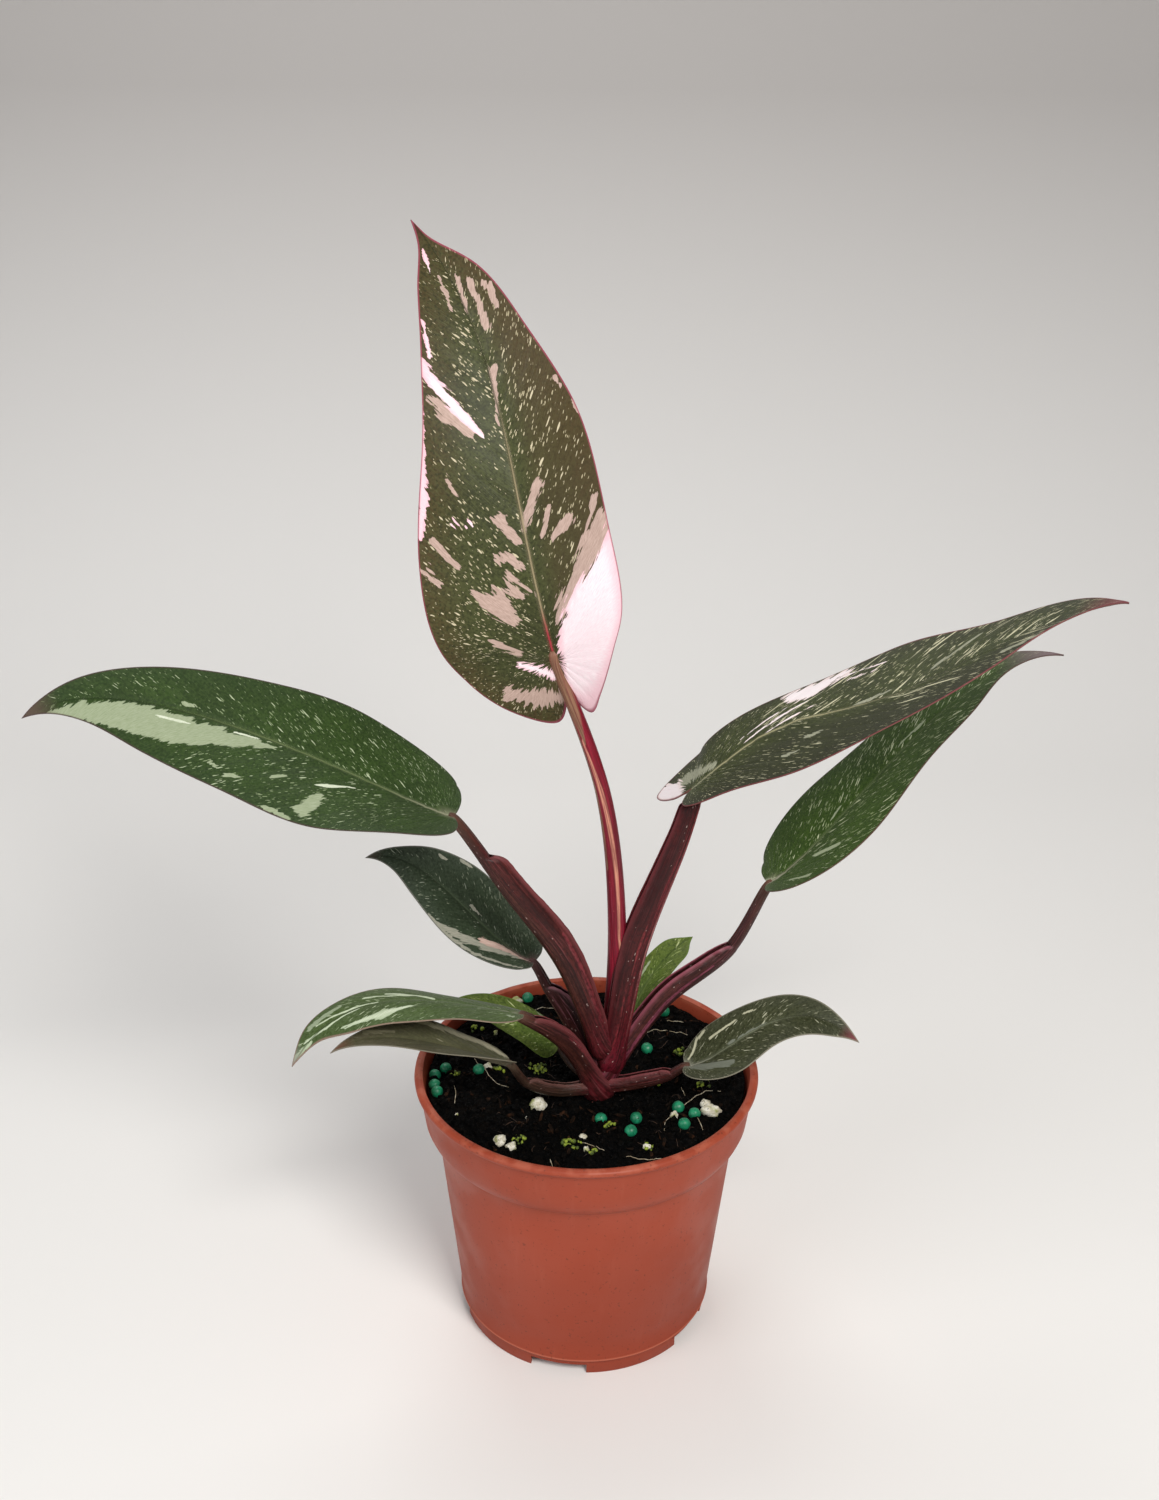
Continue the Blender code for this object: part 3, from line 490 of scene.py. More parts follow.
def mix_height(x, y):
    """The mix's top: a shallow dish with noise, a mound at the stem, and a dip at the wall."""
    out = np.clip((np.hypot(x, y) - DISH_INNER) / (DISH_OUTER - DISH_INNER), 0.0, 1.0)
    height = MIX_TOP_Z + DISH_RISE * out * out * (3 - 2 * out)
    for rise, scale, shift, seed in MIX_NOISE:
        height = height + rise * lattice_noise(x * scale + shift, y * scale + shift, seed)
    away = (x - MOUND_PLACE[0]) ** 2 + (y - MOUND_PLACE[1]) ** 2
    dip = WALL_DIP * np.clip((np.hypot(x, y) - WALL_DIP_START) / WALL_DIP_WIDTH, 0.0, 1.0)
    return height + MOUND_HEIGHT * np.exp(-away / MOUND_SPREAD_SQUARED) - dip


def mix_finish(name, dark, light, share):
    """Damp peat: black with brown crumbs and tiny wet glints."""
    material, tree, shader = new_material(name, Specular_IOR_Level=0.06)
    where = object_place(tree)
    colour = blend_colour(tree, blotches(tree, where, 420.0, 0.45, 0.68), dark, light, share)
    colour = blend_colour(tree, blotches(tree, where, 1500.0, 0.62, 0.75), colour, PEAT_CRUMB,
                          0.6 * share)
    wet = ramp(tree, blotches(tree, where, 900.0, 0.4, 0.7), 0.0, 1.0, 0.95, 0.5)
    dress(tree, shader, colour, wet, grain(tree, where, 1700.0, 4.0), 0.9, 0.0006)
    return material


turn = np.linspace(0.0, math.tau, MIX_SECTORS, endpoint=False)[:, None]
top_radius = inner_radius(MIX_TOP_Z - 3.0) - 0.4
share = np.linspace(0.0, 1.0, MIX_RINGS)
mix_x = np.cos(turn) * top_radius * share
mix_y = np.sin(turn) * top_radius * share
mix_z = mix_height(mix_x, mix_y)
side_z = np.array([BODY_TOP_Z + 4.2, BODY_TOP_Z, FLOOR_TOP_Z + 0.3])
side_r = inner_radius(side_z) - 0.3
mix_x = np.concatenate([mix_x, np.cos(turn) * side_r, 0 * turn], axis=1)
mix_y = np.concatenate([mix_y, np.sin(turn) * side_r, 0 * turn], axis=1)
mix_z = np.concatenate([mix_z, 0 * turn + side_z, 0 * turn + side_z[-1]], axis=1)
peat = mix_finish("damp_peat", PEAT_BLACK, PEAT_BROWN, 0.55)
mix = make_piece("mix_body", place_mm(np.stack([mix_x, mix_y, mix_z], axis=-1)),
                 grid_faces(*mix_x.shape, closed_rows=True), peat)
weld(mix)
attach(mix, "root")
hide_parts("potting_mix")

GOLDEN = (1 + 5 ** 0.5) / 2
GRAIN_CORNERS = np.array([(-1, GOLDEN, 0), (1, GOLDEN, 0), (-1, -GOLDEN, 0), (1, -GOLDEN, 0),
                          (0, -1, GOLDEN), (0, 1, GOLDEN), (0, -1, -GOLDEN), (0, 1, -GOLDEN),
                          (GOLDEN, 0, -1), (GOLDEN, 0, 1), (-GOLDEN, 0, -1),
                          (-GOLDEN, 0, 1)]) / math.sqrt(1 + GOLDEN ** 2)
GRAIN_FACES = np.array([(0, 11, 5), (0, 5, 1), (0, 1, 7), (0, 7, 10), (0, 10, 11), (1, 5, 9),
                        (5, 11, 4), (11, 10, 2), (10, 7, 6), (7, 1, 8), (3, 9, 4), (3, 4, 2),
                        (3, 2, 6), (3, 6, 8), (3, 8, 9), (4, 9, 5), (2, 4, 11), (6, 2, 10),
                        (8, 6, 7), (9, 8, 1)])


def random_turns(count, draw):
    """Random rotations from unit quaternions, one matrix for each piece."""
    q = draw.normal(size=(count, 4))
    w, x, y, z = (q / np.linalg.norm(q, axis=1, keepdims=True)).T
    rows = [[1 - 2 * (y * y + z * z), 2 * (x * y - w * z), 2 * (x * z + w * y)],
            [2 * (x * y + w * z), 1 - 2 * (x * x + z * z), 2 * (y * z - w * x)],
            [2 * (x * z - w * y), 2 * (y * z + w * x), 1 - 2 * (x * x + y * y)]]
    return np.stack([np.stack(row, -1) for row in rows], axis=1)


def scatter_grains(name, x, y, sizes, rise, draw, material, smooth=False):
    """Lumps of twenty faces, each stretched, turned and dented, set on the mix's top."""
    count, corners = len(x), len(GRAIN_CORNERS)
    dent = 1.0 + draw.uniform(-0.28, 0.28, (count, corners, 1))
    lump = GRAIN_CORNERS[None] * dent * sizes[:, None, :]
    lump = np.einsum("nij,nkj->nki", random_turns(count, draw), lump)
    centre = np.stack([x, y, mix_height(x, y) + rise], axis=1)
    faces = (GRAIN_FACES[None] + corners * np.arange(count)[:, None, None]).reshape(-1, 3)
    return make_piece(name, place_mm(lump + centre[:, None]), faces, material, smooth)


def disc_places(count, radius, draw):
    """Random places spread evenly over a disc."""
    r = radius * np.sqrt(draw.uniform(0, 1, count))
    a = draw.uniform(0, math.tau, count)
    return r * np.cos(a), r * np.sin(a)


draw = np.random.default_rng(21)
crumb_x, crumb_y = disc_places(CRUMBS, top_radius - 1.4, draw)
crumb_size = draw.gamma(4.0, 0.17, (CRUMBS, 1)).clip(0.25, 1.7)
crumb_size = crumb_size * draw.uniform(0.7, 1.15, (CRUMBS, 3))
crumbs = scatter_grains("mix_crumbs", crumb_x, crumb_y, crumb_size, 0.15, draw, peat)

bark = mix_finish("bark_chips", BARK_DARK, BARK_BROWN, 0.9)
chip_x, chip_y = disc_places(CHIPS, top_radius - 2.5, draw)
chip_size = np.stack([draw.uniform(*limits, CHIPS) for limits in
                      ((1.0, 3.0), (0.5, 1.0), (0.25, 0.5))], axis=1)
chips = scatter_grains("bark_chips", chip_x, chip_y, chip_size, 0.4, draw, bark)


def smooth_curve(points, count):
    """Evenly spread points on a smooth curve through the given ones, by the Catmull-Rom rule."""
    p = np.asarray(points, float)
    step = np.linalg.norm(np.diff(p, axis=0), axis=1) ** 0.5
    knot = np.concatenate([[0.0], np.cumsum(step)])
    chord = np.diff(p, axis=0) / step[:, None]
    slope = np.empty_like(p)
    slope[0], slope[-1] = chord[0], chord[-1]
    slope[1:-1] = chord[:-1] * step[1:, None] + chord[1:] * step[:-1, None]
    slope[1:-1] /= (step[1:] + step[:-1])[:, None]
    s = np.linspace(0.0, knot[-1], count)
    j = np.clip(np.searchsorted(knot, s, side="right") - 1, 0, len(p) - 2)
    h = step[j][:, None]
    t = (s - knot[j])[:, None] / h
    return ((2 * t**3 - 3 * t**2 + 1) * p[j] + (t**3 - 2 * t**2 + t) * h * slope[j]
            + (3 * t**2 - 2 * t**3) * p[j + 1] + (t**3 - t**2) * h * slope[j + 1])


def unit(v):
    """Vectors of length one."""
    return v / np.linalg.norm(v, axis=-1, keepdims=True)


def tube_faces(rows, sides, start=0):
    """Quads round a tube of closed rings, and a cap at each end."""
    quads = grid_faces(rows, sides, start, closed_columns=True).tolist()
    first_cap = list(range(start + sides - 1, start - 1, -1))
    return quads + [first_cap, list(range(start + (rows - 1) * sides, start + rows * sides))]


def thread_mesh(paths, radius, sides=5):
    """Tubes round each path: a ring of the radius across the path's direction at each point."""
    points, faces, start = [], [], 0
    angle = np.linspace(0.0, math.tau, sides, endpoint=False)[None, :, None]
    for path in paths:
        along = unit(np.gradient(path, axis=0))
        side = unit(np.cross(along, np.array([0.13, 0.21, 0.97])))
        up = np.cross(side, along)
        thin = np.sin(np.linspace(0.25, math.pi - 0.25, len(path)))[:, None, None] ** 0.4
        rings = path[:, None] + radius * thin * (np.cos(angle) * side[:, None]
                                                 + np.sin(angle) * up[:, None])
        faces += tube_faces(len(path), sides, start)
        points.append(rings.reshape(-1, 3))
        start += len(path) * sides
    return place_mm(np.concatenate(points)), faces


def lay_thread(corners, count=18, lift=0.35):
    """A thread through places on the mix, lifted a little off its top."""
    flat = smooth_curve(np.asarray(corners, float), count)
    hump = lift + 0.5 * np.sin(np.linspace(0, math.pi, count))
    return np.column_stack([flat, mix_height(flat[:, 0], flat[:, 1]) + hump])


def plain_finish(name, colour, other, roughness):
    """A thin natural thing: two tones in small blotches."""
    material, tree, shader = new_material(name, Roughness=roughness)
    where = object_place(tree)
    colour = blend_colour(tree, blotches(tree, where, 600.0, 0.4, 0.6), colour, other)
    dress(tree, shader, colour, None, grain(tree, where, 2500.0), 0.4, 0.0003)
    return material


PALE_ROOTLETS = [
    [(-40.7, 10), (-37, 3), (-33, -3), (-27, -6)], [(-46, -7), (-45, -13), (-45, -19)],
    [(26, -33), (27, -27), (33, -19), (42, -10), (48, -9)], [(19, 28), (28, 28.5), (39, 24)],
    [(-27, 34), (-18, 41), (-8, 42)], [(12, -47), (19, -48), (25, -46)], [(33, -7), (34, -12)],
    [(-2, -39), (6, -44)], [(28, 34), (36, 32)], [(37, -26), (39, -33)], [(-12, -48), (-11, -51)]]
rootlets = make_piece("pale_rootlets", *thread_mesh([lay_thread(t) for t in PALE_ROOTLETS],
                                                    ROOTLET_RADIUS),
                      plain_finish("dry_rootlet", "cdc2aa", "9a8a6e", 0.6))

hair_x, hair_y = disc_places(FIBRES, top_radius - 7.0, draw)
heading = draw.uniform(0, math.tau, FIBRES)
reach = draw.uniform(1.5, 5.0, FIBRES)
swing = draw.uniform(-1.2, 1.2, FIBRES)
hairs = []
for x, y, a, l, b in zip(hair_x, hair_y, heading, reach, swing):
    way = np.array([math.cos(a), math.sin(a)])
    off = np.array([-way[1], way[0]])
    spot = np.array([x, y])
    hairs.append(lay_thread([spot, spot + l * 0.5 * way + b * off * 0.5, spot + l * way], 8, 0.3))
fibres = make_piece("brown_fibres", *thread_mesh(hairs, FIBRE_RADIUS, 4),
                    plain_finish("brown_fibre", "4a3323", "2a1c13", 0.7))
for piece in (crumbs, chips, rootlets, fibres):
    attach(piece, "root")


# Fertiliser beads, perlite and moss
# Resin coated slow release beads, dyed teal, and light grains of blown volcanic glass, stirred
# into the mix when it was blended. Small cushions of moss have grown where it stays damp.

BEAD_RADIUS = 2.1
BEADS = [(-49.6, 3.1), (-53.2, 0.1), (-52.8, -6.7), (-51.6, -11.6), (-37.7, 0.3), (28.8, 38.1),
         (21.9, 18.1), (5, -21.3), (16.9, -24.7), (14.9, -33), (31.3, -20), (36.6, -25),
         (32.8, -31.1), (-22, 47)]
PERLITE = [(-16.5, -15.5, 2.9), (42.2, -23.2, 2.7), (40.6, -19.4, 2.2), (-28.8, -38.2, 2.1),
           (-24.8, -41.3, 1.6), (29.8, -24.6, 1.6), (-5, 10, 1.9), (-1, -34.9, 1.1),
           (0, -43.4, 1.2), (-34.8, 4.2, 1.5), (-26, 45, 1.8), (-6, 50, 1.7), (29, 5, 0.9),
           (-20, -24, 0.6), (-44, -24, 0.7), (45, -33, 0.6), (19.9, -42.3, 1.2),
           (-33, 25, 1.1), (12, 37, 1.0)]
MOSS = [(-17, 7, 3.4, 26), (-30.9, 3.3, 2.0, 12), (33.8, 14.7, 2.6, 16), (-5, -39.9, 3.2, 24),
        (8, -27, 1.8, 10), (-21.9, -38.4, 2.2, 14), (40.7, -6.1, 2.2, 14), (2, -45, 1.8, 9),
        (-46, -1, 1.6, 8), (25, -3, 1.6, 8), (20, -42, 1.7, 8), (-40, 27, 2.3, 12)]
BEAD_TEAL = "0a6a48"
BEAD_LIGHT = "1f8c62"
BEAD_DUST = "0a2a20"
PERLITE_WHITE = "e9e4d4"
PERLITE_SHADED = "c9c2aa"
PERLITE_ALGAE = "93993f"
PERLITE_DIRT = "2c241a"
MOSS_LIGHT = "8d9e2c"
MOSS_DARK = "43531a"


def ball_points(rows, columns):
    """A unit ball by latitude and longitude, its poles and seam left to be welded."""
    theta = np.linspace(0.0, math.pi, rows)[:, None]
    phi = np.linspace(0.0, math.tau, columns)[None, :]
    return np.stack([np.sin(theta) * np.cos(phi), np.sin(theta) * np.sin(phi),
                     np.cos(theta) + 0 * phi], axis=-1).reshape(-1, 3)


def lumpy_balls(name, places, material, dent, squash, rows=15, columns=21):
    """Balls on the mix, each dented by noise over its own sphere and stretched."""
    ball = ball_points(rows, columns)
    x, y, z = ball.T
    points, faces = [], []
    for index, (place_x, place_y, radius) in enumerate(places):
        bump = (lattice_noise(x * 1.7 + 9 + index, y * 1.7 + z * 1.3 + 9, 31)
                + 0.5 * lattice_noise(x * 4 + 20, z * 4 + index + 20, 32))
        lump = ball * (1.0 + dent * bump)[:, None] * radius
        lump = lump * np.array([1.0 + squash * math.sin(index * 2.1),
                                1.0 - squash * math.sin(index * 1.3), 1.0 - 0.5 * squash])
        mix_top = mix_height(np.array([float(place_x)]), np.array([float(place_y)]))[0]
        faces.append(grid_faces(rows, columns, index * rows * columns)[:, ::-1])
        points.append(lump + np.array([place_x, place_y, float(mix_top) + 0.45 * radius]))
    piece = make_piece(name, place_mm(np.concatenate(points)), np.concatenate(faces), material)
    weld(piece)
    return piece


def bead_finish():
    """Teal resin skin, a little mottled, with a dusting of peat."""
    material, tree, shader = new_material("teal_bead", Coat_Roughness=0.3, Roughness=0.4)
    where = object_place(tree)
    colour = blend_colour(tree, blotches(tree, where, 350.0, 0.35, 0.65), BEAD_TEAL, BEAD_LIGHT)
    dust = blotches(tree, where, 1300.0, 0.62, 0.7)
    colour = blend_colour(tree, dust, colour, BEAD_DUST, 0.8)
    dress(tree, shader, colour, None, grain(tree, where, 1500.0), 0.25, 0.0003)
    return material


def perlite_finish():
    """Off-white porous glass with yellow-green stains of algae and specks of peat."""
    material, tree, shader = new_material("perlite_grain", Roughness=0.85)
    where = object_place(tree)
    colour = blend_colour(tree, blotches(tree, where, 700.0, 0.4, 0.6), PERLITE_WHITE,
                          PERLITE_SHADED)
    algae = blotches(tree, where, 230.0, 0.5, 0.62)
    colour = blend_colour(tree, algae, colour, PERLITE_ALGAE, 0.8)
    dirt = blotches(tree, where, 1600.0, 0.6, 0.68)
    colour = blend_colour(tree, dirt, colour, PERLITE_DIRT, 0.7)
    dress(tree, shader, colour, None, grain(tree, where, 1900.0, 4.0), 0.8, 0.0006)
    return material


beads = lumpy_balls("fertiliser_beads", [(x, y, BEAD_RADIUS) for x, y in BEADS], bead_finish(),
                    0.035, 0.02, 17, 25)
perlite = lumpy_balls("perlite_grains", PERLITE, perlite_finish(), 0.24, 0.22)
moss_x, moss_y, moss_size, moss_rise = [], [], [], []
for x, y, spread, count in MOSS:
    px, py = disc_places(count, spread, draw)
    moss_x.append(x + px)
    moss_y.append(y + py)
    moss_size.append(draw.uniform(0.35, 0.85, (count, 1)) * np.ones((1, 3)))
    moss_rise.append(0.5 + 0.9 * (1 - np.hypot(px, py) / spread))
moss = scatter_grains("moss_tufts", np.concatenate(moss_x), np.concatenate(moss_y),
                      np.concatenate(moss_size), np.concatenate(moss_rise), draw,
                      plain_finish("green_moss", MOSS_LIGHT, MOSS_DARK, 0.7), True)
for piece in (beads, perlite, moss):
    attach(piece, "root")


# Stem
# The short jointed stem, dark maroon and ringed with the scars of old leaves. It grew up out of
# the mix, and one thin red root runs down its front.

STEM_FOOT = (5.0, -6.0, 70.0)
STEM_RADIUS = 4.2
STEM_TOP_Z = 116.0
STEM_LEAN = (2.0, 3.0)
STEM_ROWS = 60
STEM_COLUMNS = 37
NODE_HEIGHTS = [70, 84, 91, 96, 100, 104, 110, 115, 116]
NODE_SWELLING = [0.8, 1.0, 1.15, 1.28, 1.2, 1.1, 0.9, 0.5, 0]
RED_ROOT = [(3.0, -9.5, 97.0), (2.2, -11.2, 94.0), (2.4, -12.2, 91.5), (2.0, -13, 89)]


def stem_surface():
    """A round tube: radius from swellings at the nodes and fine rings, closed at both ends."""
    share = np.linspace(0.0, 1.0, STEM_ROWS)[:, None]
    z = STEM_FOOT[2] + (STEM_TOP_Z - STEM_FOOT[2]) * share
    shape = np.interp(z, NODE_HEIGHTS, NODE_SWELLING)
    rings = 0.05 * np.sin(z * 2.1) + 0.02 * np.sin(z * 7.3)
    angle = np.linspace(0.0, math.tau, STEM_COLUMNS)
    radius = STEM_RADIUS * shape * (1.0 + rings * np.sin(angle + 0.4 * z))
    radius[0] = 0.0
    x = STEM_FOOT[0] + STEM_LEAN[0] * share + radius * np.cos(angle)
    y = STEM_FOOT[1] + STEM_LEAN[1] * share + radius * np.sin(angle)
    return np.stack([x, y, z + 0 * angle], axis=-1)


def skin_finish(name, skin, shade, roughness):
    """Waxy skin with fine dark and light lines that run up the stem."""
    material, tree, shader = new_material(name, Roughness=roughness, Coat_Weight=0.2)
    where = object_place(tree)
    lines = blotches(tree, stretch(tree, where, (1.0, 1.0, 0.08)), 1100.0, 0.4, 0.65)
    colour = blend_colour(tree, lines, skin, shade)
    dress(tree, shader, colour, None, grain(tree, where, 1200.0), 0.4, 0.0004)
    return material


stem = make_piece("stem_skin", place_mm(stem_surface()), grid_faces(STEM_ROWS, STEM_COLUMNS),
                  skin_finish("maroon_stem", "4a1519", "230a0c", 0.4))
weld(stem)
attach(stem, "root")
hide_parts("stem")

root_tip = make_piece("red_root", *thread_mesh([smooth_curve(RED_ROOT, 16)], 0.5, 8),
                      plain_finish("red_root_skin", "7c3a2a", "5a2a20", 0.6))
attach(root_tip, "root")


# Top leaf
# The newest large leaf, held upright on a bare crimson petiole. Its blade is half olive green and
# half chimera tissue without chlorophyll: a pink white sector, taupe patches and cream flecks.

VEIN_SWEEP = 0.30
VEIN_CURVE = 1.12
SINUS_SHARE = 0.07
HEART_LOBE = 0.14
BLADE_HALF_THICKNESS = 0.17
STRAIGHT = [(0.0, 0.0), (1.0, 0.0)]


def bezier(points, u):
    """Point on a cubic Bezier curve for each u from 0 to 1."""
    p = np.asarray(points, float)
    u = np.asarray(u)[..., None]
    v = 1.0 - u
    return v**3 * p[0] + 3 * v * v * u * p[1] + 3 * v * u * u * p[2] + u**3 * p[3]


def bezier_direction(points, u):
    """Direction of a cubic Bezier curve for each u from 0 to 1."""
    p = np.asarray(points, float)
    u = np.asarray(u)[..., None]
    v = 1.0 - u
    return unit(3 * v * v * (p[1] - p[0]) + 6 * v * u * (p[2] - p[1]) + 3 * u * u * (p[3] - p[2]))


def half_outline(count, half_width, lobe, at10, at50, at70, at85, full=1.0, cusp=0.3):
    """One side of a blade: share of the length, and width in millimetres, from base to tip.

    A lobe longer than the heart lobe's share is rounded and hangs in behind the petiole, as
    wide as full says. Just before the tip the width is the cusp's share of that at 85 %.
    """
    w = half_width
    b = w * min(1.0, at10 / 0.95)
    if lobe > HEART_LOBE:
        base = [(0, 0), (-0.55 * lobe, 0.3 * SINUS_SHARE * b), (-lobe, 0.21 * full * b),
                (-0.65 * lobe, 0.54 * full * b), (0.02, (0.60 + 0.30 * full) * b)]
    else:
        base = [(0, 0), (-0.55 * lobe, SINUS_SHARE * b), (-lobe, 0.42 * b),
                (0.015 - 0.45 * lobe, 0.74 * b)]
    points = base + [(0.10, at10 * w), (0.27, w), (0.5, at50 * w), (0.7, at70 * w),
                     (0.85, at85 * w), (0.95, cusp * at85 * w), (1, 0)]
    scale = np.array([100.0, 1.0])
    return smooth_curve(np.array(points) * scale, count) / scale


def blade_plan(leaf, rows, columns):
    """Flat blade on a grid: rows are veins from the midrib, columns go from margin to margin.

    A vein leaves the midrib at its root share and reaches the margin point r by w to the power
    of the vein curve. Both halves have the same roots, so that they meet at the midrib. The
    midrib itself may sway to a side.
    """
    margins = [half_outline(rows + 1, *leaf[side]) for side in ("left", "right")]
    lean = [VEIN_SWEEP * np.clip((m[:, 0] + 0.10) / 0.45, 0.12, 1.0) for m in margins]
    swept = [m[:, 0] - s * m[:, 1] / leaf["left"][0] for m, s in zip(margins, lean)]
    root = np.maximum.accumulate(np.maximum(0.0, (swept[0] + swept[1]) / 2.0))
    x = np.linspace(-1.0, 1.0, 2 * columns + 1)
    w = 0.5 * x + 0.5 * np.sin(x * math.pi / 2)
    side = (w > 0).astype(int)
    reach = np.abs(w)[None, :]
    margin_along = np.where(side[None], margins[1][:, :1], margins[0][:, :1])
    margin_across = np.where(side[None], margins[1][:, 1:], -margins[0][:, 1:])
    along = root[:, None] + (margin_along - root[:, None]) * reach ** VEIN_CURVE
    sway = np.interp(np.clip(along, 0, 1), *np.array(leaf.get("sway", STRAIGHT)).T)
    fade = np.clip(np.abs(margin_across) / (0.4 * leaf["left"][0]), 0.0, 1.0)
    across = margin_across * reach + sway * fade * (1 - reach)
    return along, across, np.broadcast_to(w[None, :], along.shape), np.abs(margin_across)


def blade_surface(leaf, along, across):
    """Bend the flat blade: along its spine, rolled, folded at the midrib, curled and waved.

    Gives the points, the upward normals and the blade's length. The rise off the flat is
    |a| sin(fold) + curl a^2 / width + a ripple of the margin, less the droop of the lobes.
    """
    u = np.linspace(0.0, 1.0, 401)
    spine = bezier(leaf["spine"], u)
    run = np.concatenate([[0.0], np.cumsum(np.linalg.norm(np.diff(spine, axis=0), axis=1))])
    total = run[-1]
    share = np.clip(along, 0.0, 1.0)
    behind = np.minimum(along, 0.0) * total
    at = np.interp(share * total, run, u)
    direction = bezier_direction(leaf["spine"], at)
    middle = bezier(leaf["spine"], at) + direction * behind[..., None]
    face = np.asarray(leaf["face"], float)
    up = unit(face - (direction @ face)[..., None] * direction)
    side = np.cross(direction, up)
    roll = np.radians(leaf["roll"][0] + (leaf["roll"][1] - leaf["roll"][0]) * share)[..., None]
    normal = up * np.cos(roll) + side * np.sin(roll)
    lateral = side * np.cos(roll) - up * np.sin(roll)
    width = max(leaf["left"][0], leaf["right"][0])
    fold = math.radians(leaf["fold"]) * (1.0 - 0.35 * share)
    height, waves, phase = leaf["wave"]
    ripple = height * (across / width) ** 2 * np.sin(math.tau * waves * share + phase
                                                     + across / width)
    rise = np.abs(across) * np.sin(fold) + leaf["curl"] * across**2 / width + ripple
    rise = rise - leaf["droop"] * (behind / 10.0) ** 2
    points = middle + lateral * (across * np.cos(fold))[..., None] + normal * rise[..., None]
    return points, normal, total


def stroke_mask(x, y, corners, widths):
    """How near a flat place is to a tapering line: 1/2 at its width, 1 inside it, 0 outside.

    The step between them is as wide as the line, and at most 2.4 mm wide to each side.
    """
    found = np.zeros_like(x)
    corners = np.asarray(corners, float)
    breadth = np.interp(np.linspace(0, 1, len(corners)), np.linspace(0, 1, len(widths)), widths)
    for a, b, wa, wb in zip(corners[:-1], corners[1:], breadth[:-1], breadth[1:]):
        d = b - a
        t = np.clip(((x - a[0]) * d[0] + (y - a[1]) * d[1]) / max(d @ d, 1e-9), 0.0, 1.0)
        away = np.hypot(x - a[0] - t * d[0], y - a[1] - t * d[1])
        width = wa + (wb - wa) * t
        near = 0.5 + 0.5 * (width - away) / np.minimum(width, 2.4)
        found = np.maximum(found, np.clip(near, 0.0, 1.0))
    return found


def add_attribute(mesh, label, kind, field, values):
    """Give each point of a mesh a vector or a colour under a name."""
    attribute = mesh.attributes.new(label, kind, "POINT")
    attribute.data.foreach_set(field, np.asarray(values).astype(np.float32).ravel())


def paint_strokes(strokes, x, y):
    """Three masks, red, green and blue, from the strokes that are meant for each."""
    masks = [np.zeros_like(x) for _ in range(3)]
    for channel, corners, widths in strokes:
        masks[channel] = np.maximum(masks[channel], stroke_mask(x, y, corners, widths))
    return np.stack([*masks, np.ones_like(x)], -1)


def make_blade(name, leaf, rows, columns, material):
    """A closed blade: upper and lower sheets with veins in relief, joined along the margin.

    The upper sheet sinks at the midrib and at each side vein, and the lower one bulges there.
    Attributes: vein (mm along the margin, mm out from the midrib, side), place (share of the
    length, mm from the margin, underside) and marks (pink white, taupe, flecks).
    """
    along, across, w, half = blade_plan(leaf, rows, columns)
    points, normal, total = blade_surface(leaf, along, across)
    share = np.clip(along, 0.0, 1.0)
    rib = np.exp(-(w * half / 1.1) ** 2) * np.clip(half / 3.0, 0.0, 1.0)
    order = np.arange(rows + 1)[:, None] / rows
    side_veins = np.cos(order * math.tau * leaf["veins"] + np.sign(w) * 0.5)
    side_veins = (np.clip(side_veins - 0.55, 0.0, 1.0) * (1 - np.abs(w)) ** 0.5
                  * np.clip(half / 8, 0, 1))
    thick = BLADE_HALF_THICKNESS + 0.12 * (1 - np.abs(w))
    upper = thick - 0.30 * rib * (1 - 0.7 * share) - 0.45 * side_veins
    lower = thick + (1.25 * (1 - share) ** 1.3 + 0.12) * rib + 0.35 * side_veins
    sheets = np.stack([points + normal * upper[..., None], points - normal * lower[..., None]])
    grid = np.arange(along.size).reshape(along.shape)
    sheet = grid_faces(*along.shape)[2 * columns:]
    loop = np.concatenate([grid[1:, 0], grid[-1, 1:], grid[1:-1, -1][::-1], grid[1, 1:-1][::-1]])
    after = np.roll(loop, -1)
    wall = np.stack([loop, after, after + grid.size, loop + grid.size], axis=1)
    faces = np.concatenate([sheet[:, ::-1], sheet + grid.size, wall])
    piece = make_piece(name, place_mm(sheets), faces, material)
    vein = np.stack([order * total * 1.15 + 0 * w, np.abs(w) * half * 1.25, 60.0 * np.sign(w)], -1)
    place = np.stack([share, (1 - np.abs(w)) * half, 0 * w], -1)
    below = place + np.array([0.0, 0.0, 1.0])
    marks = paint_strokes(leaf["marks"], along * total, across)
    add_attribute(piece.data, "vein", "FLOAT_VECTOR", "vector", [vein, vein])
    add_attribute(piece.data, "place", "FLOAT_VECTOR", "vector", [place, below])
    add_attribute(piece.data, "marks", "FLOAT_COLOR", "color", [marks, marks])
    weld(piece)
    return piece


def streak_group():
    """A node group: a mask of dashes that are long along the veins and thin across them."""
    group, given, result = new_group("vein_streaks", "Vein", {
        "Across": 1.0, "Along": 0.2, "Low": 0.6, "High": 0.66}, ("Mask", "Noise"))
    scale = add_node(group, "CombineXYZ", {"X": given["Across"], "Y": given["Along"], "Z": 1.0})
    where = stretch(group, given["Vein"], scale.outputs["Vector"])
    noise = add_node(group, "TexNoise", {"Vector": where, "Scale": 1.0, "Detail": 3.0,
                                         "Roughness": 0.6}).outputs["Fac"]
    group.links.new(ramp(group, noise, given["Low"], given["High"]), result["Mask"])
    group.links.new(noise, result["Noise"])
    return group


vein_streaks = streak_group()


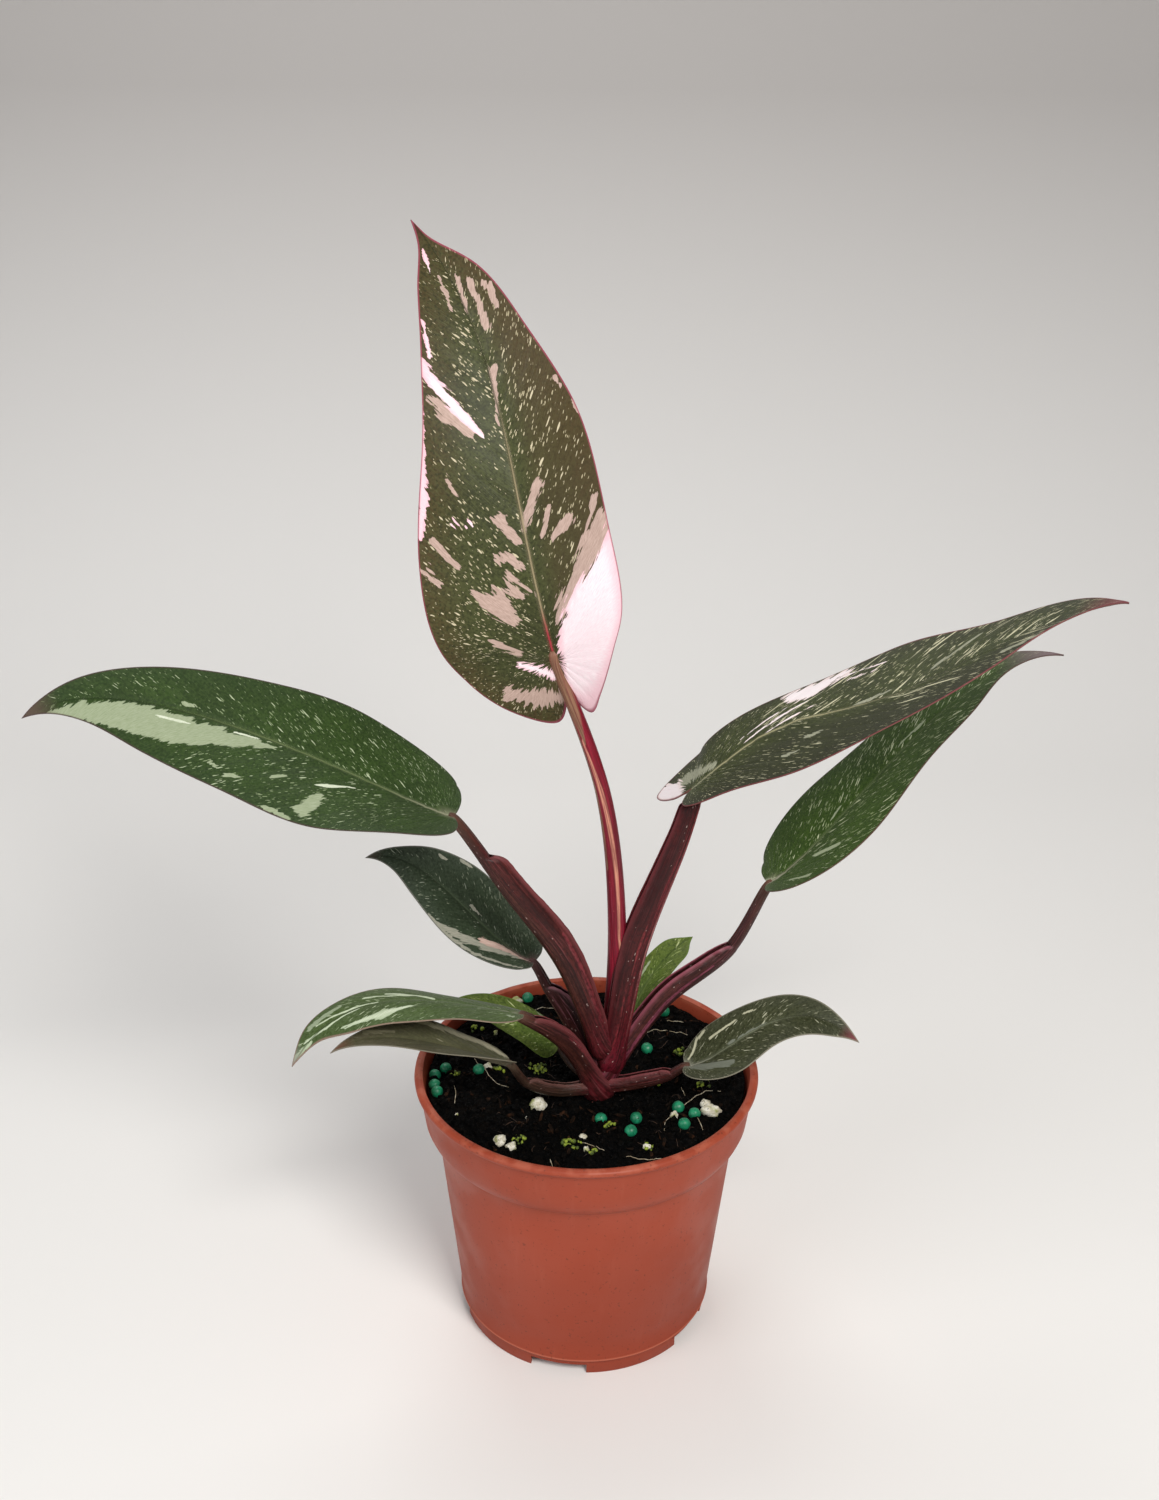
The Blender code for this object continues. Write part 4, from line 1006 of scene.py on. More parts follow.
def streaks(tree, vein, across, along, low, high):
    """Place the streak group in a material and give its mask and its noise."""
    values = {"Vein": vein, "Across": across, "Along": along, "Low": low, "High": high}
    placed = add_node(tree, "Group", values, node_tree=vein_streaks).outputs
    return placed["Mask"], placed["Noise"]


def fleck_group():
    """A node group: separate flecks, at most one in each cell, most of them very small.

    The places are stretched along the veins and bent by noise. A cell's own random value over
    the rarity gives its fleck's radius.
    """
    group, given, result = new_group("cell_flecks", "Vein", {
        "Across": 1.0, "Along": 0.4, "Rarity": 0.5, "Size": 0.6})
    scale = add_node(group, "CombineXYZ", {"X": given["Across"], "Y": given["Along"], "Z": 1.0})
    where = stretch(group, given["Vein"], scale.outputs["Vector"])
    noise = add_node(group, "TexNoise", {"Vector": where, "Scale": 2.2, "Detail": 1.0})
    bent = add_node(group, "VectorMath", {0: noise.outputs["Color"], 1: (0.55, 0.55, 0.0),
                                          2: where}, operation="MULTIPLY_ADD")
    cells = add_node(group, "TexVoronoi", {"Vector": bent.outputs["Vector"], "Scale": 1.0})
    own = add_node(group, "SeparateColor", {"Color": cells.outputs["Color"]}).outputs["Red"]
    over = calculate(group, "SUBTRACT", own, given["Rarity"])
    radius = product(group, over, given["Size"])
    inside = calculate(group, "SUBTRACT", radius, cells.outputs["Distance"])
    group.links.new(ramp(group, inside, -0.02, 0.05), result["Mask"])
    return group


cell_flecks = fleck_group()


def flecks(tree, vein, across, along, rarity, size):
    """Place the fleck group in a material; the rarity may be a number or a mask."""
    values = {"Vein": vein, "Across": across, "Along": along, "Rarity": rarity, "Size": size}
    return add_node(tree, "Group", values, node_tree=cell_flecks).outputs["Mask"]


def leaf_greens(tree, look, vein, place, out, left):
    """Clouded green from inner to outer, with threads along the veins and a browner right half."""
    where = object_place(tree)
    cloud = blotches(tree, where, 60.0, 0.35, 0.68)
    outward = ramp(tree, place[1], look["rim_green"], 0.0)
    green = blend_colour(tree, cloud, look["inner"], look["deep"], 0.7)
    green = blend_colour(tree, outward, green, look["outer"], 0.85)
    threads, thread_noise = streaks(tree, vein, 1.6, 0.10, 0.35, 0.7)
    green = blend_colour(tree, threads, green, look["thread"], 0.35)
    mottle = blotches(tree, where, 1300.0, 0.42, 0.62)
    green = blend_colour(tree, mottle, green, look["thread"], 0.30)
    dim = blotches(tree, where, 1100.0, 0.46, 0.66, 2.0)
    green = blend_colour(tree, dim, green, look["deep"], 0.65)
    flush = product(tree, ramp(tree, left, 1.0, 0.0), ramp(tree, out, 1.0, 12.0))
    return blend_colour(tree, flush, green, look["outer"], look["flush"]), thread_noise


def lay_flecks(tree, look, vein, marks, colour):
    """Dust, dashes and long dashes of cream, in clusters, and more of them where marked."""
    crowd = ramp(tree, marks["Blue"], 0.1, 0.9, look["rare"], look["rare"] - 0.12)
    cluster = blotches(tree, object_place(tree), 90.0, 0.35, 0.65)
    crowd = calculate(tree, "MULTIPLY_ADD", cluster, -0.16, crowd)
    dust = flecks(tree, vein, 2.1, 0.85, crowd, 0.85)
    colour = blend_colour(tree, dust, colour, look["speck"], 0.8)
    dashes = flecks(tree, vein, 1.25, 0.3, crowd, 0.6)
    colour = blend_colour(tree, dashes, colour, look["fleck"], 0.95)
    drawn_out = ramp(tree, marks["Blue"], 0.1, 0.9, 1.0, look["streaky"])
    long = flecks(tree, vein, 0.9, 0.07, drawn_out, 0.75)
    return blend_colour(tree, long, colour, look["fleck"], 0.95)


def lay_marks(tree, look, vein, place, marks, colour):
    """Taupe patches, then pink white sectors, whose edges noise tears along the veins.

    tear is 2.6 times the coarse streaks and 0.5 times the fine ones about zero. It counts only
    near a mark's edge, and a mark shows where it and the tear together pass a half.
    """
    rag_noise = streaks(tree, vein, 0.55, 0.10, 0.0, 1.0)[1]
    fine, fine_noise = streaks(tree, vein, 3.0, 0.5, 0.3, 0.7)
    tear = calculate(tree, "MULTIPLY_ADD", rag_noise, 2.6, -1.3)
    tear = calculate(tree, "MULTIPLY_ADD", fine_noise, 0.5, tear)
    tear = calculate(tree, "SUBTRACT", tear, 0.25)
    edge = ramp(tree, marks["Red"], 0.95, 0.45)
    rim = ramp(tree, place[1], look["rim_pink"], 0.3)
    for channel, kind in (("Green", "patch"), ("Red", "sector")):
        near = product(tree, ramp(tree, marks[channel], 0.02, 0.3),
                       ramp(tree, marks[channel], 1.0, 0.75, 0.35 * look["ragged"],
                            look["ragged"]))
        torn = calculate(tree, "ADD", product(tree, tear, near), marks[channel])
        mask = ramp(tree, torn, 0.47, 0.56)
        inked = blend_colour(tree, fine, look[kind], look[kind + "_shade"])
        if kind == "sector":
            inked = blend_colour(tree, edge, inked, look["sector_edge"], 0.5)
            inked = blend_colour(tree, rim, inked, look["sector_edge"], 0.45)
        colour = blend_colour(tree, mask, colour, inked)
    return colour, fine_noise


def lay_rib(tree, look, place, out, left, colour):
    """The midrib, thinner towards the tip, with a shadow beside it on the left half."""
    width = look["rib_width"]
    shadow = product(tree, ramp(tree, out, width * 2.2, width * 1.2), left)
    colour = blend_colour(tree, shadow, colour, look["deep"], 0.6)
    rib = calculate(tree, "LESS_THAN", out, ramp(tree, place[0], 0.0, 0.9, width, 0.16))
    fade = ramp(tree, place[0], look["rib_end"], look["rib_end"] - 0.35)
    rib_colour = blend_colour(tree, ramp(tree, place[0], *look["rib_turn"]), look["rib_base"],
                              look["rib"])
    soft = product(tree, ramp(tree, out, 1.6, 0.4), fade)
    colour = blend_colour(tree, soft, colour, rib_colour, 0.18)
    return blend_colour(tree, product(tree, rib, fade), colour, rib_colour, look["rib_share"])


def blade_finish(name, look):
    """Waxy leaf skin. Greens vary from midrib to margin; flecks, patches and sectors lie on them.

    look's colours: inner, deep and outer green, thread, fleck, speck, patch, sector, rib, margin,
    tip and under (the underside). Its measures in mm: how far in rim_green and rim_pink reach,
    rib_width and margin_width. Its shares of the length: rib_turn, where the rib takes its own
    colour, rib_end, glow, where the base's blush ends, and tip_from. rare and streaky say how
    rare flecks and long dashes are, ragged how torn edges are, flush how brown the right half is.
    """
    material, tree, shader = new_material(name, Coat_Weight=0.03, Coat_Roughness=0.25,
                                          Specular_IOR_Level=0.18)
    vein = add_node(tree, "Attribute", attribute_name="vein").outputs["Vector"]
    place = split(tree, add_node(tree, "Attribute", attribute_name="place").outputs["Vector"])
    marks = add_node(tree, "SeparateColor", {
        "Color": add_node(tree, "Attribute", attribute_name="marks").outputs["Color"]}).outputs
    out = split(tree, vein)["Y"]
    left = calculate(tree, "LESS_THAN", split(tree, vein)["Z"], 0.0)

    green, thread_noise = leaf_greens(tree, look, vein, place, out, left)
    colour = lay_flecks(tree, look, vein, marks, green)
    colour, fine_noise = lay_marks(tree, look, vein, place, marks, colour)
    colour = lay_rib(tree, look, place, out, left, colour)
    base = product(tree, ramp(tree, place[0], look["glow"], 0.0), ramp(tree, out, 6.0, 0.5))
    colour = blend_colour(tree, base, colour, look["rib_base"], look["blush"])
    tip = ramp(tree, place[0], look["tip_from"], 0.985)
    colour = blend_colour(tree, tip, colour, look["tip"], 0.85)
    margin = ramp(tree, place[1], look["margin_width"], 0.1)
    colour = blend_colour(tree, margin, colour, look["margin"], 0.85)
    below = blend_colour(tree, 0.6, colour, look["under"])
    colour = blend_colour(tree, place[2], colour, below)
    rough = ramp(tree, fine_noise, 0.2, 0.8, 0.42, 0.58)
    relief = calculate(tree, "MULTIPLY_ADD", thread_noise, 0.6, fine_noise)
    dress(tree, shader, colour, rough, relief, 0.4, 0.0004)
    return material


PETIOLE_SECTIONS = 140
PETIOLE_SIDES = 72
BAND_LENGTH = 50.0
BAND_A, BAND_B, BAND_C = 0, 1, 2
GROOVED = np.array([(0, 0.80), (0.22, 0.86), (0.42, 0.88), (0.60, 0.80), (0.74, 0.68),
                    (0.87, 0.50), (0.97, 0.24), (1.0, -0.08), (0.72, -0.70), (0, -1.0)])
WINGS_APART = np.array([(0, 0.15), (0.45, 0.24), (0.88, 0.28), (0.66, 0.26), (0.74, 0.36),
                        (0.84, 0.27), (1.12, 0.28), (1.12, -0.10), (0.80, -0.72), (0, -1.0)])
WINGS_CLOSED = np.array([(0, 0.10), (0.40, 0.20), (0.74, 0.26), (0.10, 0.24), (0.20, 0.36),
                         (0.34, 0.26), (1.06, 0.26), (1.06, -0.10), (0.80, -0.72), (0, -1.0)])
WING_LIFT = np.array([0.0, 0.0, 0.5, 1.0, 1.0, 1.0, 0.5, 0.0, 0.0, 0.0])


def sheath_profile(leaf, share):
    """Height of the sheath's wings in radii: low at the foot, and a rounded end at its reach."""
    reach, height, taper = leaf["sheath"]
    grown = np.clip(0.35 + 1.6 * share, 0.0, 1.0)
    end = np.clip((reach - share) / taper, 0.0, 1.0)
    return height * grown * np.sqrt(np.clip(1.0 - (1.0 - end) ** 2, 0.0, 1.0))


def petiole_path(leaf):
    """The petiole's centre line, from inside the stem through its places to the blade's base.

    Gives the line, the side and up across it, and the share of the way: the root of each
    stretch's length counts, and 0 is where it leaves the stem. Up leans to the plant's middle.
    """
    start, second = np.asarray(leaf["spine"][:2], float)
    leaving = unit(second - start)
    face = np.asarray(leaf["face"], float)
    under = -unit(face - (leaving @ face) * leaving)
    foot = np.asarray(leaf["petiole"][0], float)
    deep_z = foot[2] - leaf["foot"][0]
    sunk = (deep_z - STEM_FOOT[2]) / (STEM_TOP_Z - STEM_FOOT[2])
    deep = np.array([STEM_FOOT[0] + STEM_LEAN[0] * sunk, STEM_FOOT[1] + STEM_LEAN[1] * sunk,
                     deep_z])
    ahead, below, hang = leaf["neck"]
    end = start - 0.5 * leaving + hang * leaf["thick"][1] * under
    neck = start + ahead * leaving + below * under
    corners = np.array([deep, *leaf["petiole"], end, neck])
    path = smooth_curve(corners, PETIOLE_SECTIONS)
    along = unit(np.gradient(path, axis=0))
    inward = np.array([0.0, 0.0, 1.0]) - 0.45 * unit(end - foot)
    up = unit(inward - (along @ inward)[:, None] * along)
    step = np.linalg.norm(np.diff(corners, axis=0), axis=1) ** 0.5
    share = (np.linspace(0.0, step.sum(), PETIOLE_SECTIONS) - step[0]) / step[1:].sum()
    return path, np.cross(along, up), up, share


def petiole_radius(leaf, path, share):
    """Straight from foot to neck, swollen at the foot, and thin inside the stem and at the end."""
    foot_radius, neck_radius = leaf["thick"]
    run = np.concatenate([[0.0], np.cumsum(np.linalg.norm(np.diff(path, axis=0), axis=1))])
    grown = np.clip(share, 0.0, 1.0)
    radius = foot_radius + (0.62 * neck_radius + 0.25 - foot_radius) * grown
    radius = radius * (1.0 + 0.12 * np.exp(-grown / 0.06))
    radius = radius * np.interp(run, [0.0, 0.7, 1.6, 3.0, 5.0], [0.15, 0.5, 0.74, 0.92, 1.0])
    radius = radius * (1.0 + (leaf["foot"][1] - 1.0) * np.exp(-((run - 4.0) / 7.0) ** 2))
    return radius * np.interp(share, [0.0, 0.93, 0.97, 1.0], [1.0, 1.0, 0.92, 0.5])


def petiole_section(leaf, share, radius):
    """Each ring across and up, in millimetres: a grooved round that blends into one with wings.

    A ring is a closed Catmull-Rom curve through eighteen corners, symmetrical about the groove.
    The wings' free edges waver by noise. Also gives how near each point is to a wing's edge.
    """
    wing = sheath_profile(leaf, share)
    winged = WINGS_APART + (WINGS_CLOSED - WINGS_APART) * leaf["closing"]
    m = np.clip(wing / 0.5, 0.0, 1.0)
    m = (m * m * (3 - 2 * m))[:, None, None]
    half = GROOVED[None] * (1 - m) + winged[None] * m
    half[:, :, 1] += wing[:, None] * WING_LIFT[None]
    half = half * radius[:, None, None]
    other = half[:, 1:-1][:, ::-1] * np.array([-1.0, 1.0])
    corners = np.concatenate([half, other], axis=1)
    t = np.arange(PETIOLE_SIDES) * corners.shape[1] / PETIOLE_SIDES
    i = np.floor(t).astype(int)
    f = (t - i)[None, :, None]
    a, b, c, d = (corners[:, (i + k) % corners.shape[1]] for k in (-1, 0, 1, 2))
    flat = 0.5 * (2 * b + (c - a) * f + (2 * a - 5 * b + 4 * c - d) * f**2
                  + (3 * b - 3 * c + d - a) * f**3)
    hand = 3.0 * np.sign(flat[..., 0]) + 9
    waver = lattice_noise(share[:, None] * 14 + 5, hand, 41)
    waver = waver + 0.5 * lattice_noise(share[:, None] * 45 + 5, hand, 42)
    free = np.clip(flat[..., 1] / radius[:, None] - 0.4, 0.0, 1.0)
    free = free * np.clip(wing, 0.0, 1.0)[:, None]
    flat = flat + np.stack([0.22 * waver * free, 0.20 * waver * free], axis=-1)
    edge = np.clip((flat[..., 1] / radius[:, None] - wing[:, None] + 0.10) / 0.35, 0.0, 1.0)
    return flat, edge * np.clip(wing / 0.3, 0.0, 1.0)[:, None]


def make_petiole(name, leaf, material):
    """The petiole's tube with closed ends, and attributes for its lines, places and bands.

    A band is a tapering line over places of the share of the way and the angle round the
    section, which is 0 at the back and pi at the groove.
    """
    path, side, up, share = petiole_path(leaf)
    radius = petiole_radius(leaf, path, share)
    flat, edge = petiole_section(leaf, share, radius)
    rings = path[:, None] + flat[..., :1] * side[:, None] + flat[..., 1:] * up[:, None]
    piece = make_piece(name, place_mm(rings), tube_faces(*rings.shape[:2]), material)
    step = np.linalg.norm(np.diff(rings.mean(axis=1), axis=0), axis=1)
    run = np.concatenate([[0.0], np.cumsum(step)])
    angle = np.arctan2(flat[..., 0], -flat[..., 1])
    share = share[:, None] + 0 * angle
    lines = np.stack([angle * 3.0, run[:, None] + 0 * angle, leaf["seed"] + 0 * angle], -1)
    place = np.stack([share, edge, flat[..., 1] / radius[:, None]], -1)
    strokes = [(channel, np.array(corners) * (BAND_LENGTH, 1.0), widths)
               for channel, corners, widths in leaf.get("bands", [])]
    bands = paint_strokes(strokes, share * BAND_LENGTH, angle)
    add_attribute(piece.data, "lines", "FLOAT_VECTOR", "vector", lines)
    add_attribute(piece.data, "place", "FLOAT_VECTOR", "vector", place)
    add_attribute(piece.data, "bands", "FLOAT_COLOR", "color", bands)
    weld(piece)
    return piece


def petiole_finish(name, look):
    """Waxy skin: a brown back, redder wings with pale rims, lines along it and cork specks.

    look's colours: back, wing, deep lines, edge, speck, root, top, and three bands. gloss is
    the coat, scurf how strong the fine scurf is, rare how rare the specks are, and bare the
    share of the way from which the neck takes its top colour.
    """
    material, tree, shader = new_material(name, Coat_Weight=look["gloss"], Coat_Roughness=0.2,
                                          Specular_IOR_Level=0.22)
    lines = add_node(tree, "Attribute", attribute_name="lines").outputs["Vector"]
    place = split(tree, add_node(tree, "Attribute", attribute_name="place").outputs["Vector"])
    bands = add_node(tree, "SeparateColor", {
        "Color": add_node(tree, "Attribute", attribute_name="bands").outputs["Color"]}).outputs
    broad, broad_noise = streaks(tree, lines, 0.55, 0.018, 0.40, 0.62)
    fine, fine_noise = streaks(tree, lines, 2.2, 0.06, 0.42, 0.62)
    scurf, scurf_noise = streaks(tree, lines, 1.6, 0.55, 0.46, 0.62)
    colour = blend_colour(tree, ramp(tree, place[2], 0.15, 0.60), look["back"], look["wing"])
    colour = blend_colour(tree, broad, colour, look["deep"], 0.75)
    for channel, band in (("Red", "band_a"), ("Green", "band_b"), ("Blue", "band_c")):
        worn = calculate(tree, "MULTIPLY_ADD", fine_noise, 0.7, bands[channel])
        colour = blend_colour(tree, ramp(tree, worn, 0.72, 0.98), colour, look[band], 0.9)
    colour = blend_colour(tree, ramp(tree, place[0], 0.24, 0.02), colour, look["root"], 0.75)
    colour = blend_colour(tree, fine, colour, look["deep"], 0.65)
    colour = blend_colour(tree, scurf, colour, look["deep"], look["scurf"])
    pale = streaks(tree, lines, 3.0, 0.05, 0.56, 0.68)[0]
    colour = blend_colour(tree, pale, colour, look["edge"], 0.55)
    specks = flecks(tree, lines, 1.3, 0.5, look["rare"], 0.8)
    colour = blend_colour(tree, specks, colour, look["speck"], 0.6)
    colour = blend_colour(tree, place[1], colour, look["edge"], 0.8)
    neck = ramp(tree, place[0], look["bare"], 0.985)
    colour = blend_colour(tree, neck, colour, look["top"], 0.8)
    rough = ramp(tree, fine_noise, 0.3, 0.7, 0.34, 0.5)
    relief = calculate(tree, "MULTIPLY_ADD", broad_noise, 1.2, fine_noise)
    relief = calculate(tree, "MULTIPLY_ADD", scurf_noise, look["scurf"], relief)
    dress(tree, shader, colour, rough, relief, 0.6, 0.0006)
    return material


def finish_leaf(label, leaf, rows, columns):
    """Make a leaf's two pieces and put them in place of their solids.

    A leaf is given in millimetres from the pot's axis and degrees: spine and face bend and turn
    the blade, roll turns it about its spine from base to tip, left and right are the values of
    half_outline, and marks are strokes over the flat blade. petiole holds the places on the
    petiole's way, thick its radii, sheath its reach, height and taper, foot its depth in the
    stem and its swelling, and neck how it enters the blade.
    """
    blade = make_blade("blade_" + label, leaf, rows, columns,
                       blade_finish("blade_" + label, leaf["look"]))
    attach(blade, "root")
    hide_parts("leaf_" + label)
    petiole = make_petiole("stalk_" + label, leaf, petiole_finish("stalk_" + label, leaf["skin"]))
    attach(petiole, "root")
    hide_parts("petiole_" + label)


SECTOR, PATCH, FLECKS = 0, 1, 2

top_look = dict(
    inner="3f4324", deep="292b14", outer="4a3a22", rim_green=14.0, thread="555934", fleck="cfc3a4",
    speck="bfb392", rare=0.655, streaky=0.93, patch="c5aa9e", patch_shade="ac9286",
    sector="fdeef2", sector_shade="f8dde4", sector_edge="f0a9b8", rib="a39372", rib_base="b53a47",
    rib_turn=(0.05, 0.13), rib_width=0.36, rib_share=0.75, rib_end=0.66, glow=0.02,
    margin="a0485c", margin_width=0.48, tip="4a2620", tip_from=0.945, under="7d5a48", flush=0.5,
    ragged=1.0, rim_pink=4.0, blush=0.05)
crimson_skin = dict(
    back="92182f", wing="7e1326", deep="5c0c1c", band_a="d8957c", band_b="8f7256", band_c="6a4650",
    scurf=0.1, rare=0.8, edge="9a3c50", speck="c07060", root="7a1a2c", top="8d6450", gloss=0.1,
    bare=0.88)
top_leaf = dict(
    spine=((-11, -9, 255), (-26, -7, 307), (-25, 24, 347), (-56, 38, 380)), face=(0, -1, 0.5),
    roll=(-26, 30), fold=7, curl=0.1, left=(33, 0.16, 1.02, 0.77, 0.585, 0.375, 1.1, 0.27),
    right=(26.5, 0.145, 1.03, 0.88, 0.58, 0.37, 0.8, 0.13), wave=(1.2, 2.5, 0.6), droop=1.2,
    petiole=((8, -1, 108), (9.8, -4, 155), (4.2, -8, 210)), thick=(3.7, 2.5),
    sheath=(0.0, 0.0, 0.05), foot=(6.0, 1.1), neck=(3.0, 0.45, 0.4), closing=0.0, seed=3.0,
    veins=26, look=top_look, skin=crimson_skin,
    bands=[
        (BAND_A, [(0.2, -1.0), (0.45, -1.25), (0.62, -1.2), (0.73, -1.0)],
         [0.08, 0.22, 0.3, 0.13]),
        (BAND_B, [(0.72, -1.2), (0.78, -1.4), (0.85, -1.5), (1.0, -1.5)], [0.1, 0.7, 1.1, 1.4]),
        (BAND_B, [(0.45, -0.1), (0.7, -0.4), (0.9, -0.6)], [0.15, 0.25, 0.2]),
        (BAND_C, [(0.05, -2.6), (0.5, -2.7), (0.8, -2.8)], [0.25, 0.3, 0.2])],
    marks=[
        (SECTOR, [(13, 16), (1, 13), (-12, 10)], [8.5, 9, 9]),
        (SECTOR, [(41, 30), (28, 27.5), (14, 24), (-4, 19), (-18, 8)], [2.4, 5, 8, 8, 6]),
        (SECTOR, [(12, 7.2), (3, 5.8), (-8, 4)], [2, 3, 3]),
        (SECTOR, [(37, 29.5), (28, 23.4), (18, 15.6), (10, 9.6)], [2.2, 3.6, 4.8, 4.2]),
        (PATCH, [(40, 25.6), (31.5, 19.8), (21, 11.4), (12.5, 4.6)], [3.4, 3.8, 3.2, 1.4]),
        (SECTOR, [(99, -20), (91, -18.2), (80, -12.0), (71, -6.5)], [1.3, 2.0, 1.8, 0.3]),
        (PATCH, [(86, -19), (79, -15.2), (73.5, -10.2)], [1.6, 3.0, 1.4]),
        (SECTOR, [(84, -23.2), (68, -26.5), (56, -28.0), (45, -31.4)], [0.6, 1.3, 1.5, 0.8]),
        (SECTOR, [(133.5, -3.4), (130, -4.6), (125.5, -5.6)], [0.3, 0.7, 0.3]),
        (SECTOR, [(111, -15.2), (99, -16.8)], [0.5, 0.8]),
        (PATCH, [(119, 4.8), (104, 4.0)], [0.9, 1.1]),
        (PATCH, [(124, -3.6), (112, -4.8)], [0.6, 0.8]),
        (PATCH, [(121, 2), (110, -0.5)], [0.9, 0.5]),
        (PATCH, [(116, 9), (109, 9.2)], [1.2, 0.8]),
        (PATCH, [(91, 1.5), (86, 0.6), (74, -1.6)], [1.4, 0.8, 0.2]),
        (PATCH, [(54, 6.6), (48, 3.5), (41, -0.6)], [1.8, 2.0, 0.7]),
        (PATCH, [(47, 8.8), (39, 5.4)], [1.1, 0.6]),
        (PATCH, [(42, 14.5), (37.5, 7.6)], [1.5, 0.7]),
        (PATCH, [(46, -6.8), (39, -2.8)], [2.0, 0.9]),
        (PATCH, [(35, -9), (31, -2.6)], [1.5, 0.8]),
        (PATCH, [(28.5, -7), (22, -1.6)], [1.8, 0.8]),
        (PATCH, [(26.5, -12.8), (21.5, -5.5)], [0.9, 1.2]),
        (PATCH, [(26, -19), (20, -13), (15.5, -9.5)], [1.0, 3.4, 2.4]),
        (PATCH, [(9.5, -17), (4.7, -10.3)], [1.3, 1.0]),
        (SECTOR, [(1, -11.5), (-3, -4.5), (-7, 0)], [0.9, 1.6, 1.2]),
        (PATCH, [(-8, -18), (-12, -10), (-13, -4)], [2.2, 3.6, 2.6]),
        (PATCH, [(61, -20.2), (54.5, -18)], [1.1, 0.7]),
        (PATCH, [(43, -27.6), (34, -21.8)], [1.0, 0.9]),
        (PATCH, [(35.5, -31), (31.5, -27.8)], [1.5, 1.2]),
        (SECTOR, [(47.5, -21.2), (45.8, -19.5)], [0.8, 0.5]),
        (SECTOR, [(46.5, -16.6), (45.4, -14.6)], [0.8, 0.5]),
        (PATCH, [(47.4, 22.8), (44, 22.2)], [1.4, 0.9]),
        (PATCH, [(84, 18.6), (81, 19.6)], [0.6, 0.4]),
        (PATCH, [(76, 22), (71, 23.6)], [0.7, 0.4]),
        (FLECKS, [(118, 5), (80, 8), (40, 12)], [9, 12, 12]),
        (FLECKS, [(100, -8), (88, -6)], [7, 6]),
        (FLECKS, [(40, -15), (0, -18)], [11, 12])])
finish_leaf("top", top_leaf, 170, 38)


# Upper left leaf
# An older leaf, held low to the left on a maroon petiole whose sheath clasps the stem. Fresh
# green with one large grey-green patch beside the midrib and scattered white dashes.

green_look = dict(
    inner="294010", deep="1e2f0d", outer="263919", rim_green=6.0, thread="44572c", fleck="adb996",
    speck="8d9c74", rare=0.69, streaky=0.92, patch="a1ab8d", patch_shade="8e9a78", sector="dfe3cf",
    sector_shade="cfd6bd", sector_edge="b9c4a6", rib="6d7a4e", rib_base="a7a58a",
    rib_turn=(0.0, 0.2), rib_width=0.5, rib_share=0.55, rib_end=0.75, glow=0.05, margin="4a3836",
    margin_width=0.4, tip="5c4a40", tip_from=0.9, under="5f5a48", flush=0.0, ragged=0.6,
    rim_pink=3.0, blush=0.4)
maroon_skin = dict(
    back="4c2820", wing="521f1c", deep="260c0b", band_a="7a3036", band_b="6b4a34", band_c="2a1412",
    scurf=0.6, rare=0.69, edge="7a3e40", speck="c4a8a0", root="5e1822", top="5c4030", gloss=0.07,
    bare=0.74)
left_high = dict(
    spine=((-44, -14, 203), (-62, -14, 208), (-149, 2, 256), (-178, -12, 235)), face=(0, -0.5, 1),
    roll=(28, -32), fold=11, curl=-0.1, left=(30, 0.015, 0.8, 0.84, 0.58, 0.28),
    right=(26, 0.015, 0.97, 0.74, 0.5, 0.28), wave=(0.8, 2.0, 2.0), droop=0.0,
    petiole=((4.5, -6, 112), (-8, -9, 146), (-26.5, -13, 176)), thick=(3.6, 2.3),
    sheath=(0.745, 2.3, 0.05), foot=(6.0, 1.15), neck=(1.2, 0.9, 0.4), closing=1.0, seed=11.0,
    veins=24, look=green_look, skin=maroon_skin,
    bands=[
        (BAND_A, [(0.0, -2.4), (0.2, -2.5), (0.42, -2.75)], [0.22, 0.2, 0.08]),
        (BAND_C, [(0.1, -1.95), (0.4, -2.0), (0.7, -2.05)], [0.06, 0.07, 0.05])],
    marks=[
        (PATCH, [(134, -3.4), (124, -4.6), (112, -5.6), (99, -6.6), (87, -7.2), (73, -5.4),
                 (59, -2.6)], [0.8, 3.0, 4.6, 5.6, 4.8, 3.2, 0.6]),
        (SECTOR, [(98, -4.0), (88, -4.2)], [0.5, 0.35]),
        (SECTOR, [(74, -2.4), (66, -1.4)], [0.6, 0.3]),
        (PATCH, [(43.4, -24.5), (42, -20.5), (40.8, -17)], [2.8, 2.2, 1.8]),
        (SECTOR, [(42, -12), (31, -6.5)], [0.6, 0.35]),
        (PATCH, [(56.6, -15), (52.5, -12.6)], [0.8, 0.5]),
        (PATCH, [(56, -27), (46.5, -29)], [0.6, 1.2]),
        (PATCH, [(76.5, -16.5), (73, -18)], [0.8, 0.5]),
        (PATCH, [(91.5, 2.5), (88, 2.4)], [0.9, 0.5]),
        (PATCH, [(70, -19.5), (66, -19)], [0.8, 0.5]),
        (FLECKS, [(75, 8), (30, 9), (8, 10)], [9, 9, 7]),
        (FLECKS, [(110, 8), (130, 3)], [8, 6]),
        (FLECKS, [(75, -18), (40, -18), (15, -12)], [8, 9, 7])])
finish_leaf("left_high", left_high, 160, 34)


# Middle left leaf
# A smaller leaf with a pinkish cream band beside its lower margin, on a short petiole.

